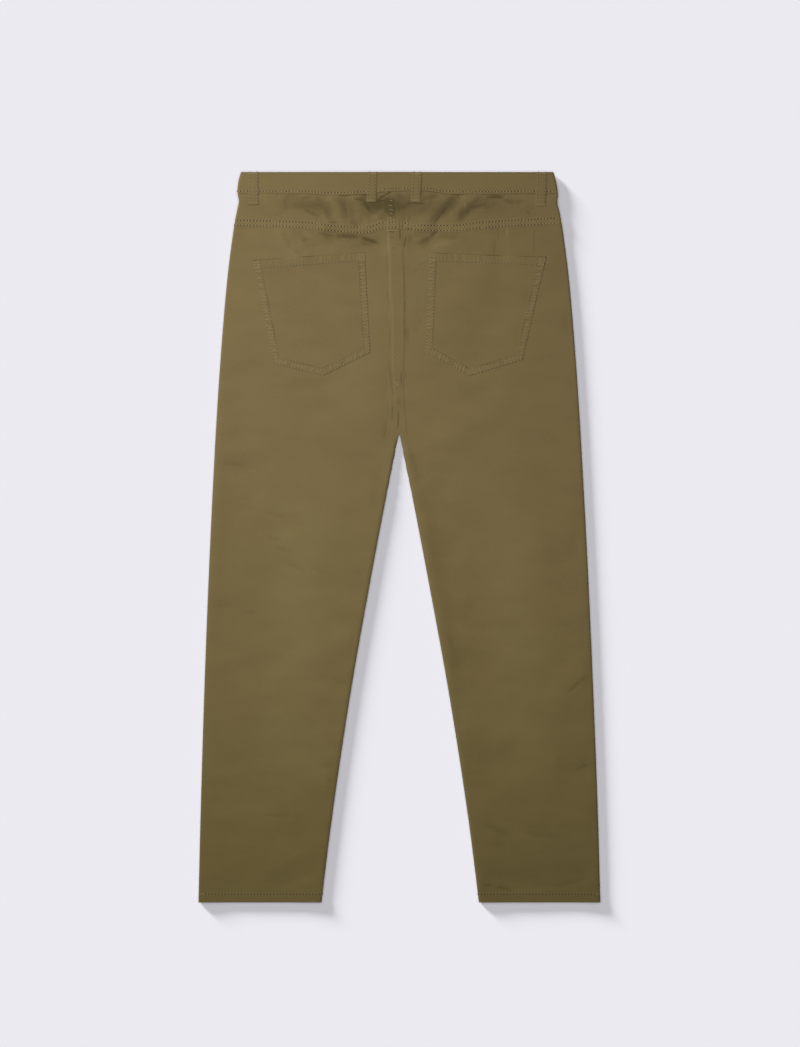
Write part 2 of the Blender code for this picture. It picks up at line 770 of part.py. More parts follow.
def waistband_sheet():
    """The waistband, one strip round the flattened waist, with the buttonhole in its left end."""
    hole = BUTTONHOLE_HEIGHT / FRONT_WAIST_SEAM / 2
    parts = [0.0, BAND_EDGE_ROW, 0.5 - hole, 0.5 + hole, 1.0 - BAND_EDGE_ROW, 1.0]
    columns = len(band_section(0.0)) - 1

    def place(column, row):
        part = 1.0 - parts[row]
        point = band_section(part * FRONT_WAIST_SEAM)[column]
        down = part * (waist_seam(point.x) if point.on_back else FRONT_WAIST_SEAM)
        return at(point.x, down, point.z)

    sheet = grid_sheet(columns, len(parts) - 1, place)
    low, high = sorted((BUTTONHOLE_FROM, BUTTONHOLE_TO))
    middle = at(0.0, FRONT_WAIST_SEAM / 2, 0.0).y
    hole_faces = []
    for face in sheet.faces:
        centre = face.calc_center_median()
        inside = low < centre.x < high and abs(centre.y - middle) < BUTTONHOLE_HEIGHT / 2
        if inside and face.normal.z < 0.0 and centre.z < band_low(low, False) + CLOTH:
            hole_faces.append(face)
    bmesh.ops.delete(sheet, geom=hole_faces, context="FACES")
    return sheet


def cut_outside(sheet, start, end, middle):
    """Cut a sheet along a line on the plan, and drop the side away from middle."""
    run = end - start
    normal = Vector((-run.y, run.x, 0.0)).normalized()
    if normal.dot(middle - start) > 0.0:
        normal.negate()
    geometry = sheet.verts[:] + sheet.edges[:] + sheet.faces[:]
    bmesh.ops.bisect_plane(sheet, geom=geometry, dist=CUT_TOLERANCE, plane_co=start,
                           plane_no=normal, clear_outer=True)


def pocket_sheet(panel, corners):
    """A patch pocket: the panel's own faces inside the pocket's outline, moved out, with a hemmed mouth."""
    pocket = panel.copy()
    pocket.normal_update()
    for vert, out in [(vert, vert.normal.copy()) for vert in pocket.verts]:
        vert.co += out * (CLOTH + SEAM_GAP)
    points = [at(corner.x * MM, corner.down * MM, 0.0) for corner in corners]
    middle = sum(points, Vector()) / len(points)
    under = [face for face in pocket.faces if face.normal.z < 0.0]
    bmesh.ops.delete(pocket, geom=under, context="FACES")
    for start, end in zip(points, points[1:] + points[:1]):
        cut_outside(pocket, start, end, middle)
    mouth = (points[1] - points[0]).normalized()
    inwards = Vector((-mouth.y, mouth.x, 0.0))
    if inwards.dot(middle - points[0]) < 0.0:
        inwards.negate()
    for depth in (POCKET_HEM, POCKET_HEM + STEP / 2):
        geometry = pocket.verts[:] + pocket.edges[:] + pocket.faces[:]
        bmesh.ops.bisect_plane(pocket, geom=geometry, dist=CUT_TOLERANCE, plane_no=inwards,
                               plane_co=points[0] + inwards * depth)
    for vert in pocket.verts:
        if (vert.co - points[0]).dot(inwards) < POCKET_HEM + STEP / 10:
            vert.co.z += POCKET_HEM_RISE
    bmesh.ops.triangulate(pocket, faces=pocket.faces)
    return pocket


def surface_height(trees, x, down, facing):
    """Height of the outermost piece at a point of the plan, seen from above (1) or below (-1)."""
    far = 100 * MM
    found = []
    for tree in trees:
        hit, _, _, _ = tree.ray_cast(at(x, down, facing * far), Vector((0.0, 0.0, -facing)))
        if hit is not None:
            found.append(hit.z * facing)
    return max(found) * facing if found else None


def loop_sheet(loop, trees, facing):
    """A belt loop: a strip that clears the band, between two ends turned under and tacked down."""
    columns = 2
    tack = LOOP_TACK / (loop.length * MM)
    free = tack * LOOP_FREE
    parts = [0.0, tack, free, 0.5, 1.0 - free, 1.0 - tack, 1.0]
    spread = [k / (LOOP_SAMPLES - 1) - 0.5 for k in range(LOOP_SAMPLES)]

    def place(column, row):
        part = 1.0 - parts[row]
        middle = blend(loop.x_top, loop.x_bottom, part) * MM
        down = LOOP_TOP + part * (loop.length * MM - LOOP_TOP)
        heights = []
        for across, along in product(spread, spread):
            x = middle + across * loop.width * MM
            height = surface_height(trees, x, down + along * LOOP_TACK, facing)
            if height is not None:
                heights.append(height * facing)
        z = facing * (max(heights) + SEAM_GAP + 2.0 * LOOP_WALL)
        return at(middle + (column / columns - 0.5) * loop.width * MM, down, z)

    return grid_sheet(columns, len(parts) - 1, place, turned=facing < 0)


def loop_wall(loop):
    """Share of the doubled wall at each point of a loop: all of it at the tacked ends, half between."""

    def share(point):
        down = LENGTH / 2 - point.y
        from_end = min(down - LOOP_TOP, loop.length * MM - down)
        return 1.0 if from_end < LOOP_TACK * (1.0 + LOOP_FREE) / 2 else 0.5

    return share


def zip_wall(point):
    """Share of the zip's thickest wall at a point."""
    return zip_height(point.x, LENGTH / 2 - point.y) / ZIP_SLIDER


def button_profile():
    """The tack button's outline, from the top of its stem down to the middle of its face."""
    stem_top = LIFT - BAND_PROUD + BAND_LAP_STEP - SEAM_GAP
    rim = BUTTON_RADIUS - BUTTON_ROUNDING
    return [(0.0, stem_top), (BUTTON_STEM, stem_top), (BUTTON_STEM, BUTTON_HEAD), (rim, BUTTON_HEAD),
            (BUTTON_RADIUS, BUTTON_HEAD - BUTTON_ROUNDING), (BUTTON_RADIUS, BUTTON_ROUNDING),
            (rim, 0.0), (0.0, 0.0)]


def add_button(collection):
    """Turn the tack button, face down, with its stem through the buttonhole."""
    shape = bmesh.new()
    verts = [shape.verts.new((radius, 0.0, z)) for radius, z in button_profile()]
    for start, end in zip(verts, verts[1:]):
        shape.edges.new((start, end))
    button = add_object(collection, "button", shape, BUTTON_BRASS)
    middle = (BUTTONHOLE_FROM + BUTTONHOLE_TO) / 2
    button.location = at(middle, FRONT_WAIST_SEAM / 2, 0.0)
    turn = button.modifiers.new("turn", "SCREW")
    turn.axis = "Z"
    turn.steps = BUTTON_SIDES
    turn.render_steps = BUTTON_SIDES
    turn.use_merge_vertices = True
    turn.merge_threshold = 0.00001
    for polygon in button.data.polygons:
        polygon.use_smooth = True


def add_panels(collection):
    """Add the backs, the yoke, the patch pockets and the fronts, and return the sheets loops lie on."""
    backs = []
    fronts = []
    for half, corners in ((LEFT, LEFT_POCKET), (RIGHT, RIGHT_POCKET)):
        back = back_sheet(half)
        yoke = yoke_sheet(half)
        front = front_sheet(half)
        backs.append(BVHTree.FromBMesh(yoke))
        backs.append(BVHTree.FromBMesh(back))
        fronts.append(BVHTree.FromBMesh(front))
        pocket = pocket_sheet(back, corners)
        add_wall(add_object(collection, "back_" + half.name, back), CLOTH)
        add_wall(add_object(collection, "yoke_" + half.name, yoke), CLOTH)
        add_wall(add_object(collection, "back_pocket_" + half.name, pocket), CLOTH)
        add_wall(add_object(collection, "front_" + half.name, front), CLOTH)
        facing = facing_sheet(half)
        add_wall(add_object(collection, "front_pocket_facing_" + half.name, facing), FACING_WALL)
    return backs, fronts


def add_waistband(collection, backs, fronts):
    """Add the waistband with the belt loops that bridge it."""
    band = waistband_sheet()
    tree = BVHTree.FromBMesh(band)
    add_wall(add_object(collection, "waistband", band), BAND_WALL)
    for loops, trees, facing in ((BACK_LOOPS, backs, 1), (FRONT_LOOPS, fronts, -1)):
        for loop in loops:
            sheet = loop_sheet(loop, trees + [tree], facing)
            add_wall(add_object(collection, loop.name, sheet), 2.0 * LOOP_WALL, loop_wall(loop))


def add_fly(collection):
    """Add the coin pocket, the zip and its shield."""
    add_wall(add_object(collection, "coin_pocket", coin_pocket_sheet()), FACING_WALL)
    add_wall(add_object(collection, "fly_shield", shield_sheet()), FACING_WALL)
    add_wall(add_object(collection, "fly_zip", zip_sheet(), ZIP_BRASS), ZIP_SLIDER, zip_wall)


def main():
    """Build every piece of the trousers."""
    for old in list(bpy.data.objects):
        bpy.data.objects.remove(old, do_unlink=True)
    collection = bpy.data.collections.new("five_pocket_trousers")
    bpy.context.scene.collection.children.link(collection)
    backs, fronts = add_panels(collection)
    add_waistband(collection, backs, fronts)
    add_fly(collection)
    add_button(collection)


main()
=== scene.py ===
"""Looks of the five-pocket trousers: washed olive twill, laid flat on the front with the back side up.

Every piece of cloth is a thin shell on the form of its solid, with the folds, seams, puckers and rows of
thread that show. Lengths are metres. Along the garment a place is given as "down", the distance below the
waist's top edge, and across it as x. The wearer's left is -x.
"""

import logging
import math
from dataclasses import dataclass, replace
from enum import Enum
from typing import Callable, Sequence

import bmesh
import bpy
import numpy as np
from bmesh.types import BMesh
from bpy.types import Material, Node, NodeSocket, NodeTree, Object
from mathutils import Matrix, Vector
from mathutils.bvhtree import BVHTree


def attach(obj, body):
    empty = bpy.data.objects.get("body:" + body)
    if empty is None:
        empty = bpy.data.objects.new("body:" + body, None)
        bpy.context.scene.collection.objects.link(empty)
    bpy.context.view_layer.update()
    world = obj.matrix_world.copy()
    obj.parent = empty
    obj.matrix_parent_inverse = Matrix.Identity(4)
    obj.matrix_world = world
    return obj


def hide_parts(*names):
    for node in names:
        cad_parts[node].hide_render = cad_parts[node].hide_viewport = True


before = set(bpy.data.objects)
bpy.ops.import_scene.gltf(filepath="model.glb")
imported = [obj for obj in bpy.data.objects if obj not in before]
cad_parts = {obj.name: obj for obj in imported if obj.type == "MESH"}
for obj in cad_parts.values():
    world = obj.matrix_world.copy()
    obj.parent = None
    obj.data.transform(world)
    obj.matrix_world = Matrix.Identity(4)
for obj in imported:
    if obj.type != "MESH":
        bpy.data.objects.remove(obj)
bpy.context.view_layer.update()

LOG = logging.getLogger("trousers")
Numbers = np.ndarray
Pair = tuple[Numbers, Numbers]
Plan = tuple[float, float]

MM = 0.001

# The cut, as the solids have it
LENGTH = 1058 * MM
CROTCH_DOWN = 378 * MM
FRONT_WAIST_SEAM = 31.4 * MM
SCOOP_WIDTH = 100 * MM
SCOOP_DEPTH = 75 * MM
SCOOP_MARGIN = 14 * MM
FACING_OUTER = 240 * MM
FACING_REACH = 0.97 * (SCOOP_DEPTH + SCOOP_MARGIN)
FLY_BOTTOM = 200 * MM
FLY_LAP = 6 * MM

# Cloth walls and the room between them
CLOTH = 1.1 * MM
FACING_WALL = 1.0 * MM
BAND_WALL = 2.0 * MM
SEAM_GAP = 0.3 * MM
SEAM_MEET = 0.01 * MM
STEP = 2 * MM

# How the layers lie
LIFT = 2.8 * MM
LIFT_FLAT = 34 * MM
LIFT_FALL = 70 * MM
EDGE_FALL = 45 * MM
EDGE_CALM = 14 * MM
UNWIND = 90 * MM
UNWIND_ROOM = 3 * CLOTH
EDGE_ROLL = 2.75 * MM
NEAR_EDGE = 17.3 * MM
SIDE_TAB = 8.64 * MM
LAP_RISE = 0.6 * MM
LAP_WIDTH = 11.3 * MM
HEM_RISE = 0.8 * MM
HEM_DEPTH = 12.6 * MM
RIDGE_RISE = 0.5 * MM
LEAST_TOP = 2.7 * MM
FACING_COVER = 3.9 * MM
FLY_COVER = 5.7 * MM
COVER_FALL = 25 * MM
COVER_SOFTNESS = 0.5 * MM
YOKE_DIVE = 0.9 * MM
POCKET_SINK = 0.9 * MM
YOKE_TUCK = 1.2 * MM
# Painted shade in the folds' hollows and painted highlight on their crests, per millimetre of height
FOLD_SHADING = 0.05
SHIELD_INNER = -8 * MM
SHIELD_OUTER = 30 * MM
SHIELD_BOTTOM = 205 * MM

# Sewing thread: a lockstitch seen from outside is a row of short plump beads
# The real stitch is 3.1 mm of 0.5 mm thread; it is drawn coarser, so that it shows
STITCH_PITCH = 4.7 * MM
STITCH_LENGTH = 2.7 * MM
THREAD = 1.3 * MM
THREAD_CLEAR = 0.05 * MM
# A needle hole is drawn as a flat dark bead of painted shade
HOLE_LENGTH = 2.2 * MM
HOLE_WIDTH = 2.1 * MM
HOLE_HEIGHT = 0.12 * MM
HOLE_LAP = 0.1
TACK_THREAD = 0.62 * MM

# Rows of thread in millimetres from their seam or edge, and the grooves that they pull into the cloth
YOKE_ROWS = (2.6, 9.8)
POCKET_ROWS = (1.7, 8.4)
HEM_ROW = 12.2
BAND_ROW = 3.6


def ease(t: Numbers) -> Numbers:
    """Rise from 0 to 1 with level ends."""
    t = np.clip(t, 0.0, 1.0)
    return t * t * (3.0 - 2.0 * t)


def blend(start: Numbers, end: Numbers, t: Numbers) -> Numbers:
    """Mix two numbers."""
    return start + (end - start) * t


def hump(offset: Numbers, half_width: float) -> Numbers:
    """A smooth hump of height 1 that is gone at half_width."""
    share = np.clip(np.abs(offset) / half_width, 0.0, 1.0)
    return (1.0 - share * share) ** 2


def soft_maximum(one: Numbers, other: Numbers, softness: float) -> Numbers:
    """The larger of two heights, with the corner between them rounded."""
    gap = one - other
    return (one + other + np.sqrt(gap * gap + softness * softness)) / 2.0


class Curve:
    """A smooth line through the rows of a table, in metres, that never overshoots a row."""

    def __init__(self, rows: Sequence[object], key: str, value: str) -> None:
        """Read the line from two columns.

        Args:
            rows: The table, in rising order of its key column, in millimetres.
            key: The column that the line runs along.
            value: The column that the line follows.
        """
        self.at = np.array([getattr(row, key) for row in rows]) * MM
        self.to = np.array([getattr(row, value) for row in rows]) * MM
        steps = np.diff(self.to) / np.diff(self.at)
        before, after = steps[:-1], steps[1:]
        product = before * after
        total = np.where(product > 0.0, before + after, 1.0)
        inner = np.where(product > 0.0, 2.0 * product / total, 0.0)
        self.slopes = np.concatenate(([steps[0]], inner, [steps[-1]]))

    def __call__(self, where: Numbers) -> Numbers:
        """Read the line at one place or at many."""
        where = np.clip(where, self.at[0], self.at[-1])
        i = np.clip(np.searchsorted(self.at, where, side="right") - 1, 0, len(self.at) - 2)
        width = self.at[i + 1] - self.at[i]
        t = (where - self.at[i]) / width
        leave = t * (1.0 - t) ** 2 * width * self.slopes[i]
        arrive = t * t * (t - 1.0) * width * self.slopes[i + 1]
        return blend(self.to[i], self.to[i + 1], ease(t)) + leave + arrive


@dataclass(frozen=True)
class Side:
    """The outline's side edges, the cloth's level between them and the side fold's radius."""

    down: float
    left: float
    right: float
    level: float
    roll: float


@dataclass(frozen=True)
class Inseam:
    """The legs' inner edges and the radius of their fold."""

    down: float
    left: float
    right: float
    roll: float


@dataclass(frozen=True)
class Point:
    """A point of a seam in the plan."""

    x: float
    down: float


SIDES = [
    Side(0, -229.6, 223.2, 5.0, 2.5),
    Side(8, -232.0, 225.7, 5.0, 2.5),
    Side(16, -233.7, 227.4, 5.0, 2.5),
    Side(26, -234.6, 229.2, 5.0, 2.5),
    Side(34, -234.0, 229.7, 5.0, 2.5),
    Side(41, -232.6, 228.9, 5.1, 2.5),
    Side(46, -233.1, 228.9, 5.1, 2.5),
    Side(52, -234.5, 230.7, 5.2, 2.6),
    Side(72, -238.5, 234.8, 5.4, 2.7),
    Side(106, -243.6, 239.8, 5.6, 2.75),
    Side(156, -249.6, 245.9, 5.6, 2.75),
    Side(229, -256.1, 252.3, 5.4, 2.75),
    Side(330, -263.3, 259.6, 4.8, 2.75),
    Side(432, -269.1, 265.6, 4.2, 2.75),
    Side(591, -276.6, 273.9, 4.0, 2.75),
    Side(765, -283.2, 281.5, 4.0, 2.75),
    Side(940, -288.4, 288.0, 4.0, 2.75),
    Side(1058, -291.2, 291.2, 4.0, 2.75),
]
INSEAMS = [
    Inseam(378, 0.1, 0.4, 1.5),
    Inseam(388, -2.6, 2.3, 1.6),
    Inseam(403, -5.5, 4.9, 1.8),
    Inseam(475, -19.9, 19.6, 2.75),
    Inseam(591, -41.8, 41.8, 2.75),
    Inseam(765, -72.3, 73.3, 2.75),
    Inseam(940, -98.2, 100.2, 2.75),
    Inseam(1058, -112.9, 115.2, 2.75),
]
SEAT_SEAM = [
    Point(-11.4, 26),
    Point(-6.7, 72),
    Point(-5.6, 105),
    Point(-3.6, 185),
    Point(-4.2, 305),
    Point(0.25, 378),
]
YOKE_SEAM = [
    Point(-240, 67.0),
    Point(-144, 69.8),
    Point(-93, 75.2),
    Point(-50, 77.5),
    Point(-21, 70.5),
    Point(-7, 69.8),
    Point(8, 71.5),
    Point(30, 74.5),
    Point(73, 75.0),
    Point(117, 70.5),
    Point(240, 63.5),
]
WAIST_SEAM = [
    Point(-240, 31.4),
    Point(-144, 32.0),
    Point(-95, 33.6),
    Point(-50, 32.0),
    Point(-14, 28.4),
    Point(30, 27.0),
    Point(80, 32.2),
    Point(240, 31.4),
]
# The edges of the pressed-open allowance under the centre back seam
ALLOWANCE_LEFT = [Point(-19.6, 90), Point(-18.6, 104), Point(-17.0, 126), Point(-17.0, 176),
                  Point(-14.6, 194), Point(-14.0, 232), Point(-13.8, 275), Point(-11.0, 320),
                  Point(-8.0, 372)]
ALLOWANCE_RIGHT = [Point(1.0, 70), Point(3.0, 102), Point(7.0, 130), Point(8.4, 160), Point(8.6, 245),
                   Point(5.0, 285), Point(3.0, 310), Point(3.0, 372)]

side_left = Curve(SIDES, "down", "left")
side_right = Curve(SIDES, "down", "right")
cloth_level = Curve(SIDES, "down", "level")
side_roll = Curve(SIDES, "down", "roll")
inseam_left = Curve(INSEAMS, "down", "left")
inseam_right = Curve(INSEAMS, "down", "right")
inseam_roll = Curve(INSEAMS, "down", "roll")
seat_seam = Curve(SEAT_SEAM, "down", "x")
yoke_seam = Curve(YOKE_SEAM, "x", "down")
waist_seam = Curve(WAIST_SEAM, "x", "down")
allowance_left = Curve(ALLOWANCE_LEFT, "down", "x")
allowance_right = Curve(ALLOWANCE_RIGHT, "down", "x")


@dataclass(frozen=True)
class Fold:
    """A crease round a line in the plan: raised (+) or sunk (-), all in millimetres.

    tone is the painted highlight (+) or painted shade (-) that it carries. lean moves its crest to one side,
    which makes that slope steep and the other one long.
    """

    x: float
    down: float
    end_x: float
    end_down: float
    half_width: float
    height: float
    tone: float = 0.0
    lean: float = 0.0

    def marks(self, x: Numbers, down: Numbers) -> Pair:
        """Height and tone of the crease at each place."""
        run_x, run_down = (self.end_x - self.x) * MM, (self.end_down - self.down) * MM
        length = math.hypot(run_x, run_down)
        ahead_x, ahead_down = run_x / length, run_down / length
        off_x, off_down = x - self.x * MM, down - self.down * MM
        along = off_x * ahead_x + off_down * ahead_down
        aside = off_x * ahead_down - off_down * ahead_x
        width = self.half_width * MM * (1.0 + self.lean * np.sign(aside))
        taper = self.half_width * MM + 0.3 * length
        past = np.abs(along - length / 2.0) - length / 2.0 - self.half_width * MM + taper
        share = np.clip(np.hypot(aside / width, np.maximum(past, 0.0) / taper), 0.0, 1.0)
        return self.height * MM * (1.0 - share ** 2) ** 2, self.tone * (1.0 - share ** 2) ** 2


def main_folds(x: Numbers, down: Numbers) -> Numbers:
    """Height of the folds that the solids have too."""
    height = np.zeros_like(x + down)
    for fold in MAIN_FOLDS:
        run_x, run_down = (fold.end_x - fold.x) * MM, (fold.end_down - fold.down) * MM
        length = math.hypot(run_x, run_down)
        off_x, off_down = x - fold.x * MM, down - fold.down * MM
        share = np.clip((off_x * run_x + off_down * run_down) / length ** 2, 0.0, 1.0)
        aside = np.hypot(off_x - share * run_x, off_down - share * run_down)
        height = height + fold.height * MM * hump(aside, fold.half_width * MM)
    return height


def crease_marks(creases: Sequence[Fold], x: Numbers, down: Numbers) -> Pair:
    """Height and tone of many creases; where some run on into each other, the strongest one counts."""
    still = np.zeros_like(x + down)
    sunk, raised, deep, pale = still, still, still, still
    for crease in creases:
        height, tone = crease.marks(x, down)
        sunk, raised = np.minimum(sunk, height), np.maximum(raised, height)
        deep, pale = np.minimum(deep, tone), np.maximum(pale, tone)
    return sunk + raised, deep + pale


# The folds that the solids have too
MAIN_FOLDS = [
    Fold(6, 30, 6, 190, 75, 1.2),
    # yoke, left half
    Fold(-156, 44, -101, 55, 15, -2.0),
    Fold(-98, 40, -79, 72, 12, 1.2),
    Fold(-79, 37, -57, 72, 12, -1.7),
    Fold(-44, 40, -17, 60, 16, -3.2),
    Fold(-200, 38, -175, 50, 16, 0.8),
    # yoke, right half
    Fold(-2, 47, 30, 40, 14, -1.8),
    Fold(38, 72, 66, 40, 13, 1.0),
    Fold(55, 70, 85, 37, 12, -1.6),
    Fold(81, 66, 103, 40, 12, 1.0),
    Fold(95, 62, 124, 40, 12, -1.8),
    Fold(126, 41, 170, 43, 14, -1.5),
    # seat, under the yoke
    Fold(-93, 90, -30, 105, 20, -2.4),
    Fold(-90, 116, -40, 126, 18, 0.9),
    Fold(-166, 91, -140, 124, 20, 1.2),
    Fold(25, 104, 56, 90, 19, -2.2),
    Fold(60, 116, 84, 96, 16, 0.9),
    Fold(145, 86, 146, 121, 18, -0.9),
    Fold(117, 141, 59, 228, 34, 1.5),
    Fold(150, 180, 110, 262, 34, -1.1),
    Fold(-150, 190, -110, 270, 40, 1.0),
    Fold(147, 330, 72, 376, 34, 1.3),
    Fold(-30, 330, -110, 372, 34, 1.0),
    # left leg
    Fold(-252, 424, -205, 424, 24, -1.2),
    Fold(-195, 482, -159, 526, 28, 1.3),
    Fold(-26, 440, -30, 482, 18, -1.0),
    Fold(-101, 594, -58, 594, 30, -1.1),
    Fold(-124, 692, -80, 680, 30, 1.4),
    Fold(-104, 782, -92, 797, 26, -1.0),
    Fold(-153, 858, -105, 888, 30, 1.5),
    Fold(-172, 939, -149, 971, 28, -1.0),
    Fold(-255, 935, -190, 944, 28, 1.2),
    Fold(-176, 1030, -130, 1004, 24, -1.1),
    # right leg
    Fold(24, 420, 30, 440, 18, -1.0),
    Fold(52, 549, 74, 549, 28, -1.1),
    Fold(62, 627, 84, 627, 26, 1.2),
    Fold(80, 717, 124, 717, 30, -1.1),
    Fold(104, 801, 143, 820, 30, 1.5),
    Fold(100, 850, 122, 860, 26, -1.0),
    Fold(227, 552, 258, 542, 26, -1.1),
    Fold(236, 752, 262, 720, 28, 1.3),
    Fold(245, 858, 270, 862, 26, -1.0),
    Fold(130, 1026, 262, 1018, 22, -1.0),
]
